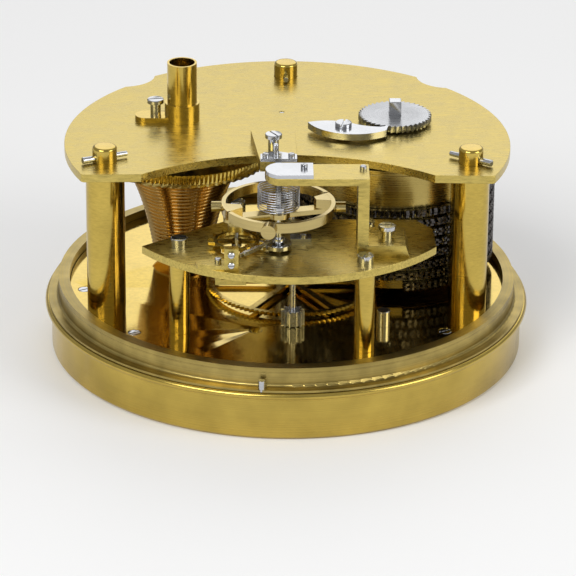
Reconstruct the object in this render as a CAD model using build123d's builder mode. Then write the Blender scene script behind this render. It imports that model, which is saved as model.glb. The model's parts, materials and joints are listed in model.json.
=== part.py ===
# Movement of an eight-day marine chronometer with fusee, chain and spring detent,
# out of its bowl and standing dial-down on its bezel.
# Millimetres, +Z up, front at -Y, origin at the middle of the bezel's underside.
from build123d import *
import os
from math import asin, atan2, cos, degrees, hypot, radians, sin, sqrt

os.makedirs("parts", exist_ok=True)

# Clearances
running_gap = 0.05
fit_gap = 0.03
pass_gap = 0.3
dial_gap = 0.4

# Bezel and glass
band_r = 58.5
band_height = 10.9
bead_r = 60.0
bead_height = 1.6
bezel_bore_r = 56.65
bezel_foot_chamfer = 0.8
lip_r = 52.0
lip_height = 2.2
glass_r = 56.0
glass_thickness = 1.7
glass_seat_height = 2.2

# Brass edge, the ring that carries the movement
spigot_r = 56.3
spigot_wall = 1.7
spigot_depth = 7.6
flange_r = 59.2
flange_thickness = 0.6
flange_fillet_r = 0.7
edge_wall_r = 56.6
edge_wall = 2.7
edge_height = 5.25
ledge_r = 46.0
ledge_thickness = 2.6

# Plates
bezel_joint_gap = 0.1
pillar_plate_thickness = 3.1
pillar_plate_gap = 0.15
lower_plate_thickness = 1.9
top_plate_thickness = 2.0
small_pillar_height = 20.8
large_pillar_height = 35.4

# Levels that follow
edge_level = band_height + bead_height + bezel_joint_gap
floor_level = edge_level + pillar_plate_thickness
lower_plate_level = floor_level + small_pillar_height
lower_plate_top = lower_plate_level + lower_plate_thickness
top_plate_level = floor_level + large_pillar_height
top_plate_top = top_plate_level + top_plate_thickness

# Large pillars and their pins
large_pillar_r = 4.7
large_pillar_x = 44.2
large_pillar_y = -14.15
back_pillar_y = 44.5
pillar_end_r = 2.96
pillar_end_height = 3.9
pillar_end_dome = 0.7
pin_thin_r = 0.6
pin_thick_r = 0.82
pin_length = 11.6
pin_lift = 0.15
left_pin_angle = 205.5
right_pin_angle = -34.2
back_pin_angle = 90.0

# Small pillars and common screws
small_pillar_r = 2.45
left_small_pillar = (-26.0, -31.0)
right_small_pillar = (18.2, -41.0)
back_small_pillar = (19.0, -20.2)
plate_screw_head_r = 2.0
plate_screw_head = 1.9
plate_screw_shank_r = 0.9
plate_screw_length = 5.0
tall_screw_head_r = 2.05
tall_screw_head = 1.0
tall_screw_neck_r = 1.3
tall_screw_shank_r = 1.0
small_screw_head_r = 0.8
small_screw_head = 1.0
small_screw_shank_r = 0.45
small_screw_length = 1.4
slot_share = 0.22
slot_depth = 0.5
screw_edge = 0.15

# Top plate outline
lobe_r = 54.6
back_arc_r = 55.45
front_corner_y = -23.2
front_step_x = 35.2
front_step_y = -22.8
front_bay_y = -10.0
shoulder_lobe_angle = 41.7
shoulder_back_angle = 52.7
shoulder_r = 52.8
shoulder_angle = 47.2
plate_corner = 1.2

# Lower plate outline
lower_tip = (-34.9, -32.0)
lower_front = (-0.7, -50.2)
lower_right = (35.4, -31.8)
lower_right_back = (35.0, -21.0)
lower_back_right = (31.0, -15.2)
lower_back_left = (-13.5, -15.2)

# Train: teeth, modules and the direction from each arbor to the next
great_teeth = 128
centre_pinion_teeth = 16
great_module = 0.352
centre_teeth = 90
third_pinion_teeth = 12
centre_module = 0.443
third_teeth = 96
fourth_pinion_teeth = 12
third_module = 0.4333
fourth_teeth = 80
escape_pinion_teeth = 10
fourth_module = 0.319
addendum = 0.75
dedendum = 1.25
leaf_tip_share = 0.09
leaf_root_share = 0.21
fusee_at = (-26.0, 13.6)
great_to_centre_angle = 11.95
centre_to_third_angle = -83.65
third_to_fourth_angle = -90.0
fourth_to_escape_angle = 198.69

# Wheel bodies
wheel_rim = 1.25
wheel_arm = 1.6
wheel_hub_r = 2.6
wheel_thickness = 0.9
great_thickness = 2.4
third_wheel_lift = 0.7
fourth_wheel_drop = 3.2
centre_wheel_drop = 1.4
train_arms = 6
fourth_arms = 5
fourth_hub_r = 2.1
fourth_arm = 1.2

# Arbors of the train
centre_arbor_r = 1.0
third_arbor_r = 0.9
fourth_arbor_r = 0.75
train_pivot_r = 0.6
fourth_foot_r = 0.55
fourth_pivot_r = 0.35
long_leaf_height = 3.8
leaf_overlap = 0.2
collar_extra = 0.7
collar_height = 0.8

# Fusee
fusee_small_r = 7.5
fusee_large_r = 15.5
fusee_turns = 23
groove_depth = 0.75
fusee_foot = 2.6
fusee_cone_height = 24.2
fusee_rim = 0.4
fusee_arbor_r = 3.0
fusee_top_pivot_r = 2.3
fusee_bottom_pivot_r = 1.5
winding_square = 3.2
winding_square_top = 63.8
maintaining_teeth = 60
maintaining_r = 22.0
maintaining_thickness = 0.9
maintaining_depth = 0.55
maintaining_slope = 0.8
maintaining_gap = 0.15
great_wheel_gap = 0.2
great_collar_r = 4.65
great_collar_height = 1.2

# Winding tube
tube_r = 3.68
tube_bore_r = 3.15
tube_top = 68.2
tube_collar_r = 4.35
tube_collar_height = 4.7
tube_lug_reach = 11.7
tube_lug_width = 5.4
tube_lug_thickness = 1.3
lug_screw_at = (-32.6, 14.0)
lug_screw_neck = 3.0

# Barrel
barrel_at = (26.8, 12.3)
barrel_r = 23.7
barrel_wall = 1.3
barrel_foot = 2.6
barrel_top_gap = 1.8
barrel_cover_thickness = 1.2
barrel_arbor_r = 2.5
barrel_hub_r = 5.0
barrel_pivot_r = 2.2
barrel_foot_pivot_r = 2.0
set_up_square = 3.0
set_up_square_top = 58.9
mainspring_thickness = 0.7
mainspring_turns = 6
mainspring_pitch = 2.3

# Chain
chain_turns = 7.5
chain_pitch = 2.75
chain_height = 1.9
chain_thickness = 1.5
chain_first_row = 19.4

# Set-up ratchet and click
ratchet_r = 9.1
ratchet_depth = 0.9
ratchet_teeth = 40
ratchet_thickness = 1.7
ratchet_lift = 0.5
ratchet_lead = 0.9
click_thickness = 1.7
click_lift = 0.7
click_tip = (5.1, 5.9)
click_back = (10.4, 7.0)
click_waist = (15.0, 6.0)
click_bay = (18.4, 3.9)
click_shoulder = (22.8, 2.9)
click_heel = (24.3, 0.7)
click_front = (15.5, -2.2)
click_pivot = (13.8, 3.4)
click_pivot_r = 0.9
click_boss_r = 1.7
click_nose_angle = -102.5
click_nose_r = 8.85
click_nose_width = 0.9

# Balance
escape_to_balance_angle = -11.42
escape_to_balance = 10.1
rim_r = 13.5
rim_wall = 1.0
rim_height = 2.4
rim_level = 48.2
rim_cut = 0.5
crossbar_width = 3.0
crossbar_thickness = 1.2
crossbar_angle = 15.6
weight_r = 1.77
weight_length = 2.6
weight_angle = 261.0
timing_nut_r = 1.25
timing_nut_length = 2.4
timing_nut_angle = 180.0
wedge_angle = 195.6
wedge_half_span = 11.0
wedge_half_width = 1.5
wedge_depth = 3.4
cut_angle = 12.0
staff_r = 0.8
staff_pivot_r = 0.2
bar_hub_r = 2.85
collet_r = 1.9
collet_height = 1.5
collet_arm_width = 0.8
impulse_roller_r = 3.3
impulse_roller_level = 39.1
impulse_roller_thickness = 1.0
roller_notch = 1.2
discharge_roller_r = 1.5
discharge_roller_level = 40.6
discharge_roller_thickness = 0.8
jewel_r = 0.9
jewel_thickness = 0.8

# Balance spring
spring_r = 4.9
spring_turns = 9
spring_bottom = 49.3
spring_wire = 0.3

# Balance cock
cock_front_y = -38.1
cock_arm_back_y = -28.4
cock_foot_back_y = -26.5
cock_foot_end_x = 28.7
cock_foot_height = 2.8
cock_foot_taper = 0.9
cock_column_x = 16.3
cock_column_width = 2.7
cock_arm_level = 56.45
cock_arm_thickness = 1.75
cock_arm_end_x = -5.65
cock_arm_round = 2.9
cock_screw_at = (23.5, -32.0)
cock_screw_neck = 1.9
cock_arm_screw_at = (17.6, -31.8)
end_plate_right_x = 5.75
end_plate_inset = 0.1
end_plate_back_y = -30.0
end_plate_thickness = 0.95
end_plate_screw_at = (3.6, -33.2)

# Stud bracket, clamp and stud
bracket_back_y = 0.0
bracket_front_y = -20.8
bracket_back_left_x = -9.0
bracket_back_right_x = 1.9
bracket_front_left_x = -6.7
bracket_front_right_x = 2.1
bracket_thickness = 2.5
bracket_screw_at = (-3.5, -12.6)
bracket_screw_neck = 3.1
clamp_depth = 3.2
clamp_thickness = 0.8
clamp_screw_spread = 3.1
clamp_screw_back = 1.2
clamp_tab = 3.0
clamp_stud_at = (-3.0, -18.6)
clamp_stud_r = 0.75
clamp_stud_height = 3.0
stud_width = 1.4
stud_thickness = 0.6
stud_block_height = 1.2
stud_block_depth = 1.2
stud_tail = 3.6

# Detent and its bracket
detent_block_left_x = -15.2
detent_block_right_x = -11.8
detent_block_front_y = -46.6
detent_block_depth = 3.0
detent_block_height = 5.5
detent_block_bevel = 1.0
detent_foot_left = (-21.4, -42.6)
detent_foot_back_y = -42.2
detent_foot_width = 1.4
detent_foot_thickness = 1.1
detent_side_screws = (1.6, 4.2)
detent_screw_at = (-16.65, -43.9)
detent_root = (-11.5, -43.9)
detent_tip_gap = 0.55
detent_level = 40.6
detent_height = 1.0
detent_blade = 0.3
detent_plate_start = 1.4
detent_plate_length = 5.2
detent_plate_width = 0.9
detent_lug = 1.0
locking_stone_r = 0.3
locking_stone_from_escape = 7.4
locking_stone_angle = -35.8

# Escape wheel and its two cocks
escape_teeth = 15
escape_r = 7.0
escape_tooth_depth = 1.5
escape_tooth_front = 1.9
escape_tooth_tip = 0.5
escape_tooth_back = 8.2
escape_rim = 0.8
escape_hub_r = 1.3
escape_arm = 0.8
escape_arms = 4
escape_level = 39.2
escape_thickness = 0.8
escape_opening_r = 5.6
escape_arbor_r = 0.5
escape_pivot_r = 0.25
escape_cock_foot_y = -21.5
escape_cock_width = 4.2
escape_cock_level = 42.6
escape_cock_thickness = 1.4
under_cock_left_x = -17.4
under_cock_right_x = -10.0
under_cock_wall = 1.4
under_cock_lip = 0.8
under_cock_flange = 3.6
under_cock_flange_height = 1.2
under_cock_depth = 5.0
under_cock_level = 29.2

# End plate over the fourth arbor's pivot
fourth_cap_width = 5.1
fourth_cap_depth = 3.2
fourth_cap_thickness = 0.8
fourth_cap_right = 1.75
fourth_cap_front = 0.7
fourth_cap_screw_right = 2.3
fourth_cap_screw_front = 1.5

# Small things on the pillar plate
stop_post_at = (23.3, -27.1)
stop_post_r = 1.65
stop_post_height = 4.0
sink_hole_at = (-7.7, -30.6)
sink_hole_r = 1.7
edge_screw_r = 1.6
right_edge_screw = (38.1, -30.6)
left_edge_screw = (-36.9, -32.0)
side_edge_screw = (-50.0, -6.5)
edge_screw_depth = 4.2
locating_pin_r = 0.85
locating_pin_height = 2.2
locating_pin_angle = -96.2
locating_pin_seat = 0.5

# Dial and hands
dial_r = 54.2
dial_thickness = 0.8
dial_level = 8.4
dial_foot_r = 1.2
dial_foot_angles = (120, 240, 0)
dial_foot_circle = 42.5
dial_foot_grip = 1.5
hand_thickness = 0.3
minute_hand_level = 6.2
hour_hand_level = 6.9
seconds_hand_level = 7.7
minute_hand_length = 40.0
hour_hand_length = 26.0
seconds_hand_length = 9.5
reserve_hand_length = 9.5
hand_hub_r = 2.6
hand_width = 2.0
hand_tip_width = 0.5
hand_tail = 6.0
small_hand_hub_r = 1.5
small_hand_width = 0.9
small_hand_tip_width = 0.3
small_hand_tail = 3.0

# Motion work and up/down work between pillar plate and dial
motion_teeth = 32
cannon_teeth = 14
minute_teeth = 42
minute_pinion_teeth = 12
hour_teeth = 48
minute_module = 0.30
minute_wheel_angle = 0.0
top_gear_drop = 1.1
gear_thickness = 0.7
gear_gap = 0.25
cannon_pipe_r = 1.1
hour_pipe_r = 1.75
stud_r = 0.6
stud_end = 0.15
reserve_pinion_teeth = 12
reserve_idler_teeth = 66
reserve_idler_pinion_teeth = 12
reserve_teeth = 60
reserve_module = 0.36
reserve_wheel_module = 0.42
fusee_to_idler_angle = 44.6
idler_to_reserve_angle = 13.54
reserve_pipe_r = 0.9


def polar(start, angle, distance):
    """A point at a direction in degrees and a distance from another."""
    return (
        start[0] + distance * cos(radians(angle)),
        start[1] + distance * sin(radians(angle)),
    )


def aim(start, end):
    """Direction in degrees from one point to another."""
    return degrees(atan2(end[1] - start[1], end[0] - start[0]))


def reach(start, end):
    """Distance between two points."""
    return hypot(end[0] - start[0], end[1] - start[1])


def pitch_radius(teeth, module):
    """Radius of a gear's pitch circle."""
    return teeth * module / 2


def centre_distance(teeth_a, teeth_b, module):
    """Distance between the arbors of two gears in mesh."""
    return pitch_radius(teeth_a, module) + pitch_radius(teeth_b, module)


def meshed(centre_a, teeth_a, phase_a, centre_b, teeth_b):
    """Phase of gear b that puts its gap where gear a has a tooth."""
    turned = phase_a - aim(centre_a, centre_b)
    return aim(centre_b, centre_a) + 180 / teeth_b - turned * teeth_a / teeth_b


def level(centre, height):
    """A horizontal plane on an arbor's axis."""
    return Plane((centre[0], centre[1], height))


def wheel_corners(teeth, module, phase):
    """Outline of a brass wheel with fine pointed teeth."""
    tip_r = pitch_radius(teeth, module) + addendum * module
    root_r = pitch_radius(teeth, module) - dedendum * module
    step = 360 / teeth
    corners = []
    for number in range(teeth):
        corners.append(polar((0, 0), phase + number * step, tip_r))
        corners.append(polar((0, 0), phase + (number + 0.5) * step, root_r))
    return corners


def leaf_corners(teeth, module, phase):
    """Outline of a steel pinion with blunt leaves."""
    tip_r = pitch_radius(teeth, module) + addendum * module
    root_r = pitch_radius(teeth, module) - dedendum * module
    step = 360 / teeth
    corners = []
    for number in range(teeth):
        middle = phase + number * step
        corners.append(polar((0, 0), middle - leaf_root_share * step, root_r))
        corners.append(polar((0, 0), middle - leaf_tip_share * step, tip_r))
        corners.append(polar((0, 0), middle + leaf_tip_share * step, tip_r))
        corners.append(polar((0, 0), middle + leaf_root_share * step, root_r))
    return corners


def wheel(corners, rim_inner_r, arms, bore_r, thickness, hub_r=wheel_hub_r, arm_width=wheel_arm):
    """A toothed wheel with crossed-out arms, lying on the origin."""
    with BuildPart() as made:
        with BuildSketch():
            with BuildLine():
                Polyline(*corners, close=True)
            make_face()
            if arms:
                with BuildSketch(mode=Mode.PRIVATE) as windows:
                    Circle(rim_inner_r)
                    Circle(hub_r, mode=Mode.SUBTRACT)
                    with PolarLocations(0, arms):
                        Rectangle(
                            rim_inner_r * 2,
                            arm_width,
                            align=(Align.MIN, Align.CENTER),
                            mode=Mode.SUBTRACT,
                        )
                add(windows.sketch, mode=Mode.SUBTRACT)
            Circle(bore_r, mode=Mode.SUBTRACT)
        extrude(amount=thickness)
    return made.part


def screw(head_r, head, shank_r, shank, slot_angle, neck_r=0.0, neck=0.0):
    """A slotted screw with its seat at the origin and its shank downwards."""
    top = neck + head
    corners = [(0, -shank), (shank_r, -shank), (shank_r, 0)]
    if neck:
        corners.append((neck_r, 0))
        corners.append((neck_r, neck))
    corners.append((head_r, neck))
    corners.append((head_r, top - screw_edge))
    corners.append((head_r - screw_edge, top))
    corners.append((0, top))
    with BuildPart() as made:
        with BuildSketch(Plane.XZ):
            with BuildLine():
                Polyline(*corners, close=True)
            make_face()
        revolve(axis=Axis.Z)
        with Locations(Location((0, 0, top), (0, 0, slot_angle))):
            Box(
                head_r * 3,
                head_r * slot_share,
                slot_depth * 2,
                mode=Mode.SUBTRACT,
            )
    return made.part


def plate_screw(slot_angle):
    """Cheese-head screw of the plates and pillars."""
    return screw(
        plate_screw_head_r, plate_screw_head, plate_screw_shank_r, plate_screw_length, slot_angle
    )


def tall_screw(neck, shank, slot_angle):
    """Screw whose head stands on a narrower neck."""
    return screw(
        tall_screw_head_r, tall_screw_head, tall_screw_shank_r, shank, slot_angle,
        tall_screw_neck_r, neck,
    )


def small_screw(slot_angle):
    """Little screw of the clamps and end plates."""
    return screw(
        small_screw_head_r, small_screw_head, small_screw_shank_r, small_screw_length, slot_angle
    )


def hand(hub_r, bore_r, length, width, tip_width, tail):
    """A tapered clock hand with its hub on the origin, pointing at +Y."""
    with BuildPart() as made:
        with BuildSketch():
            Circle(hub_r)
            with BuildLine():
                Polyline(
                    (-width / 2, -tail),
                    (width / 2, -tail),
                    (tip_width / 2, length),
                    (-tip_width / 2, length),
                    close=True,
                )
            make_face()
            Circle(bore_r, mode=Mode.SUBTRACT)
        extrude(amount=hand_thickness)
    return made.part


# Where the arbors stand
centre_at = polar(
    fusee_at, great_to_centre_angle, centre_distance(great_teeth, centre_pinion_teeth, great_module)
)
third_at = polar(
    centre_at, centre_to_third_angle, centre_distance(centre_teeth, third_pinion_teeth, centre_module)
)
fourth_at = polar(
    third_at, third_to_fourth_angle, centre_distance(third_teeth, fourth_pinion_teeth, third_module)
)
escape_at = polar(
    fourth_at, fourth_to_escape_angle, centre_distance(fourth_teeth, escape_pinion_teeth, fourth_module)
)
balance_at = polar(escape_at, escape_to_balance_angle, escape_to_balance)
dial_centre = (0.0, 0.0)
motion_idler_at = (centre_at[0] / 2, centre_at[1] / 2)
motion_module = reach(centre_at, dial_centre) / 2 / motion_teeth
minute_wheel_at = polar(
    dial_centre, minute_wheel_angle, centre_distance(cannon_teeth, minute_teeth, minute_module)
)
hour_module = (
    2 * reach(dial_centre, minute_wheel_at) / (hour_teeth + minute_pinion_teeth)
)
reserve_idler_at = polar(
    fusee_at, fusee_to_idler_angle, centre_distance(reserve_pinion_teeth, reserve_idler_teeth, reserve_module)
)
reserve_at = polar(
    reserve_idler_at,
    idler_to_reserve_angle,
    centre_distance(reserve_idler_pinion_teeth, reserve_teeth, reserve_wheel_module),
)
large_pillar_spots = [
    (-large_pillar_x, large_pillar_y),
    (large_pillar_x, large_pillar_y),
    (0, back_pillar_y),
]
fourth_cap_at = (fourth_at[0] + fourth_cap_right, fourth_at[1] - fourth_cap_front)
fourth_cap_screw_at = (fourth_at[0] + fourth_cap_screw_right, fourth_at[1] - fourth_cap_screw_front)
small_pillar_spots = [left_small_pillar, right_small_pillar, back_small_pillar]
edge_screw_spots = [right_edge_screw, left_edge_screw, side_edge_screw]

# Levels of the wheels
fusee_bottom = floor_level + fusee_foot
fusee_top = fusee_bottom + fusee_rim * 2 + fusee_cone_height
maintaining_level = fusee_top + maintaining_gap
great_level = maintaining_level + maintaining_thickness + great_wheel_gap
centre_wheel_level = top_plate_level - centre_wheel_drop
third_wheel_level = floor_level + third_wheel_lift
fourth_wheel_level = lower_plate_level - fourth_wheel_drop
top_gear_level = edge_level - top_gear_drop
middle_gear_level = top_gear_level - gear_gap - gear_thickness
low_gear_level = middle_gear_level - gear_gap - gear_thickness
barrel_bottom = floor_level + barrel_foot
barrel_top = top_plate_level - barrel_top_gap
bracket_top = top_plate_top + bracket_thickness
stud_level = bracket_top - stud_thickness
cock_arm_top = cock_arm_level + cock_arm_thickness

# Phases that put the teeth in mesh
great_phase = aim(fusee_at, centre_at)
centre_pinion_phase = meshed(fusee_at, great_teeth, great_phase, centre_at, centre_pinion_teeth)
centre_phase = aim(centre_at, third_at)
third_pinion_phase = meshed(centre_at, centre_teeth, centre_phase, third_at, third_pinion_teeth)
third_phase = aim(third_at, fourth_at)
fourth_pinion_phase = meshed(third_at, third_teeth, third_phase, fourth_at, fourth_pinion_teeth)
fourth_phase = aim(fourth_at, escape_at)
escape_pinion_phase = meshed(fourth_at, fourth_teeth, fourth_phase, escape_at, escape_pinion_teeth)
motion_idler_phase = aim(motion_idler_at, dial_centre)
cannon_gear_phase = meshed(
    motion_idler_at, motion_teeth, motion_idler_phase, dial_centre, motion_teeth
)
centre_gear_phase = meshed(
    motion_idler_at, motion_teeth, motion_idler_phase, centre_at, motion_teeth
)
minute_phase = aim(minute_wheel_at, dial_centre)
cannon_phase = meshed(minute_wheel_at, minute_teeth, minute_phase, dial_centre, cannon_teeth)
hour_phase = aim(dial_centre, minute_wheel_at)
minute_pinion_phase = meshed(
    dial_centre, hour_teeth, hour_phase, minute_wheel_at, minute_pinion_teeth
)
reserve_idler_phase = aim(reserve_idler_at, fusee_at)
reserve_pinion_phase = meshed(
    reserve_idler_at, reserve_idler_teeth, reserve_idler_phase, fusee_at, reserve_pinion_teeth
)
reserve_phase = aim(reserve_at, reserve_idler_at)
reserve_idler_pinion_phase = meshed(
    reserve_at, reserve_teeth, reserve_phase, reserve_idler_at, reserve_idler_pinion_teeth
)

# Bezel: a turned band with a bead at the top and a lip that holds the glass
with BuildPart() as bezel:
    with BuildSketch(Plane.XZ):
        with BuildLine():
            bead_top = band_height + bead_height
            Polyline(
                (lip_r, bezel_foot_chamfer),
                (lip_r, lip_height),
                (glass_r + running_gap, lip_height),
                (glass_r + running_gap, lip_height + glass_thickness + running_gap),
                (bezel_bore_r, lip_height + glass_thickness + dial_gap),
                (bezel_bore_r, bead_top),
                (bead_r - bead_height / 2, bead_top),
            )
            ThreePointArc(
                (bead_r - bead_height / 2, bead_top),
                (bead_r, bead_top - bead_height / 2),
                (bead_r - bead_height / 2, band_height),
            )
            Polyline(
                (bead_r - bead_height / 2, band_height),
                (band_r, band_height),
                (band_r, bezel_foot_chamfer),
                (band_r - bezel_foot_chamfer, 0),
                (lip_r + bezel_foot_chamfer * 2, 0),
                (lip_r, bezel_foot_chamfer),
            )
        make_face()
    revolve(axis=Axis.Z)

with BuildPart() as bezel_glass:
    with BuildSketch(Plane.XY.offset(glass_seat_height)):
        Circle(glass_r)
    extrude(amount=glass_thickness)

# Brass edge: spigot inside the bezel, flange, raised wall and inner ledge
edge_top = edge_level + edge_height
flange_top = edge_level + flange_thickness
flange_fillet_inset = flange_fillet_r * (1 - sqrt(0.5))
with BuildPart() as brass_edge:
    with BuildSketch(Plane.XZ):
        with BuildLine():
            Polyline(
                (flange_r, edge_level + flange_thickness),
                (flange_r, edge_level),
                (spigot_r, edge_level),
                (spigot_r, edge_level - spigot_depth),
                (spigot_r - spigot_wall, edge_level - spigot_depth),
                (spigot_r - spigot_wall, edge_level - ledge_thickness),
                (ledge_r, edge_level - ledge_thickness),
                (ledge_r, edge_level),
                (edge_wall_r - edge_wall, edge_level),
                (edge_wall_r - edge_wall, edge_top),
                (edge_wall_r, edge_top),
                (edge_wall_r, flange_top + flange_fillet_r),
            )
            ThreePointArc(
                (edge_wall_r, flange_top + flange_fillet_r),
                (edge_wall_r + flange_fillet_inset, flange_top + flange_fillet_inset),
                (edge_wall_r + flange_fillet_r, flange_top),
            )
            Line((edge_wall_r + flange_fillet_r, flange_top), (flange_r, flange_top))
        make_face()
    revolve(axis=Axis.Z)
    locating_pin_at = polar(dial_centre, locating_pin_angle, flange_r - locating_pin_r)
    with BuildSketch(level(locating_pin_at, edge_level + flange_thickness - locating_pin_seat)):
        Circle(locating_pin_r + fit_gap)
    extrude(amount=locating_pin_seat + flange_thickness, mode=Mode.SUBTRACT)
    with BuildSketch(Plane.XY.offset(edge_level - edge_screw_depth + pillar_plate_thickness)):
        with Locations(*edge_screw_spots):
            Circle(edge_screw_r / 2 + fit_gap)
    extrude(amount=edge_screw_depth, mode=Mode.SUBTRACT)

# Pillar plate: a disc with pivot holes, screw sinks and dial foot holes
dial_foot_spots = [polar(dial_centre, angle, dial_foot_circle) for angle in dial_foot_angles]
with BuildPart() as pillar_plate:
    with BuildSketch(Plane.XY.offset(edge_level)):
        Circle(edge_wall_r - edge_wall - pillar_plate_gap)
        with Locations(fusee_at):
            Circle(fusee_bottom_pivot_r + running_gap, mode=Mode.SUBTRACT)
        with Locations(barrel_at):
            Circle(barrel_foot_pivot_r + running_gap, mode=Mode.SUBTRACT)
        with Locations(centre_at):
            Circle(centre_arbor_r + running_gap, mode=Mode.SUBTRACT)
        with Locations(third_at):
            Circle(train_pivot_r + running_gap, mode=Mode.SUBTRACT)
        with Locations(fourth_at):
            Circle(fourth_foot_r + running_gap, mode=Mode.SUBTRACT)
        with Locations(*edge_screw_spots):
            Circle(edge_screw_r / 2 + fit_gap, mode=Mode.SUBTRACT)
    extrude(amount=pillar_plate_thickness)
    with Locations((sink_hole_at[0], sink_hole_at[1], floor_level)):
        CounterSinkHole(sink_hole_r / 2, sink_hole_r)
    with BuildSketch(Plane.XY.offset(floor_level)):
        with Locations(*edge_screw_spots):
            Circle(edge_screw_r + fit_gap)
    extrude(amount=-edge_screw_r / 2, mode=Mode.SUBTRACT)
    with BuildSketch(Plane.XY.offset(edge_level)):
        with Locations(*dial_foot_spots):
            Circle(dial_foot_r + fit_gap)
    extrude(amount=dial_foot_grip + fit_gap, mode=Mode.SUBTRACT)

edge_screw_solid = screw(
    edge_screw_r, edge_screw_r / 2, edge_screw_r / 2, edge_screw_depth - edge_screw_r / 2 - fit_gap, 30
)
with BuildPart() as edge_screws:
    with Locations(*[(spot[0], spot[1], floor_level - edge_screw_r / 2) for spot in edge_screw_spots]):
        add(edge_screw_solid)

with BuildPart() as stop_post:
    with BuildSketch(level(stop_post_at, floor_level)):
        Circle(stop_post_r)
    extrude(amount=stop_post_height)
    chamfer(stop_post.edges().group_by(Axis.Z)[-1], screw_edge)

# Large pillars with pinned ends
pin_level = top_plate_top + pin_thick_r + pin_lift
pin_angles = [left_pin_angle, right_pin_angle, back_pin_angle]


def pin_planes(start):
    """Planes across each pillar end, at a distance along its pin."""
    planes = []
    for spot, angle in zip(large_pillar_spots, pin_angles):
        x, y = polar(spot, angle, start)
        planes.append(Plane((x, y, pin_level), z_dir=(cos(radians(angle)), sin(radians(angle)), 0)))
    return planes


with BuildPart() as large_pillars:
    with BuildSketch(Plane.XY.offset(floor_level)):
        with Locations(*large_pillar_spots):
            Circle(large_pillar_r)
    extrude(amount=large_pillar_height)
    with BuildSketch(Plane.XY.offset(top_plate_level)):
        with Locations(*large_pillar_spots):
            Circle(pillar_end_r)
    extrude(amount=top_plate_thickness + pillar_end_height)
    fillet(large_pillars.edges().group_by(Axis.Z)[-1], pillar_end_dome)
    with Locations(*pin_planes(-pin_length / 2)):
        Cone(
            pin_thin_r + fit_gap,
            pin_thick_r + fit_gap,
            pin_length,
            align=(Align.CENTER, Align.CENTER, Align.MIN),
            mode=Mode.SUBTRACT,
        )

locating_pin_base = edge_level + flange_thickness - locating_pin_seat
with BuildPart() as frame_pins:
    with Locations(*pin_planes(-pin_length / 2)):
        Cone(pin_thin_r, pin_thick_r, pin_length, align=(Align.CENTER, Align.CENTER, Align.MIN))
    with BuildSketch(level(locating_pin_at, locating_pin_base)):
        Circle(locating_pin_r)
    extrude(amount=locating_pin_seat + locating_pin_height)

# Top plate: two lobes, a concave front and a raised back arc
corner_x = sqrt(lobe_r**2 - front_corner_y**2)
with BuildPart() as top_plate:
    with BuildSketch(Plane.XY.offset(top_plate_level)) as top_plate_face:
        with BuildLine():
            for side in (1, -1):
                corner = (side * corner_x, front_corner_y)
                lobe_end = polar(dial_centre, shoulder_lobe_angle, lobe_r)
                back_start = polar(dial_centre, shoulder_back_angle, back_arc_r)
                shoulder = polar(dial_centre, shoulder_angle, shoulder_r)
                Line((side * front_step_x, front_step_y), corner)
                ThreePointArc(corner, (side * lobe_r, 0), (side * lobe_end[0], lobe_end[1]))
                ThreePointArc(
                    (side * lobe_end[0], lobe_end[1]),
                    (side * shoulder[0], shoulder[1]),
                    (side * back_start[0], back_start[1]),
                )
            ThreePointArc((back_start[0], back_start[1]), (0, back_arc_r), (-back_start[0], back_start[1]))
            ThreePointArc(
                (-front_step_x, front_step_y), (0, front_bay_y), (front_step_x, front_step_y)
            )
        make_face()
        fillet(
            [
                vertex
                for vertex in top_plate_face.vertices()
                if abs(abs(vertex.X) - corner_x) < fit_gap and abs(vertex.Y - front_corner_y) < fit_gap
            ],
            plate_corner,
        )
        with Locations(*large_pillar_spots):
            Circle(pillar_end_r + fit_gap, mode=Mode.SUBTRACT)
        with Locations(fusee_at):
            Circle(fusee_top_pivot_r + running_gap, mode=Mode.SUBTRACT)
        with Locations(barrel_at):
            Circle(barrel_pivot_r + running_gap, mode=Mode.SUBTRACT)
        with Locations(centre_at, third_at):
            Circle(train_pivot_r + running_gap, mode=Mode.SUBTRACT)
        with Locations(lug_screw_at, bracket_screw_at):
            Circle(tall_screw_shank_r + fit_gap, mode=Mode.SUBTRACT)
    extrude(amount=top_plate_thickness)
    with BuildSketch(level(click_pivot, top_plate_top)):
        Circle(click_boss_r)
    extrude(amount=click_lift - running_gap)
    with BuildSketch(level(click_pivot, top_plate_top + click_lift)):
        Circle(click_pivot_r + fit_gap)
    extrude(amount=-click_lift - top_plate_thickness, mode=Mode.SUBTRACT)

# Lower plate with the opening round the escape arbor
with BuildPart() as lower_plate:
    with BuildSketch(Plane.XY.offset(lower_plate_level)):
        with BuildLine():
            ThreePointArc(lower_tip, lower_front, lower_right)
            Polyline(lower_right, lower_right_back, lower_back_right, lower_back_left, lower_tip)
        make_face()
        with Locations(escape_at):
            Circle(escape_opening_r, mode=Mode.SUBTRACT)
        with Locations(*small_pillar_spots):
            Circle(plate_screw_shank_r + fit_gap, mode=Mode.SUBTRACT)
        with Locations(cock_screw_at):
            Circle(tall_screw_shank_r + fit_gap, mode=Mode.SUBTRACT)
        with Locations(fourth_at):
            Circle(fourth_pivot_r + running_gap, mode=Mode.SUBTRACT)
        with Locations(balance_at):
            Circle(jewel_r + fit_gap, mode=Mode.SUBTRACT)
        with Locations(detent_screw_at, fourth_cap_screw_at):
            Circle(small_screw_shank_r + fit_gap, mode=Mode.SUBTRACT)
    extrude(amount=lower_plate_thickness)

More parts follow.
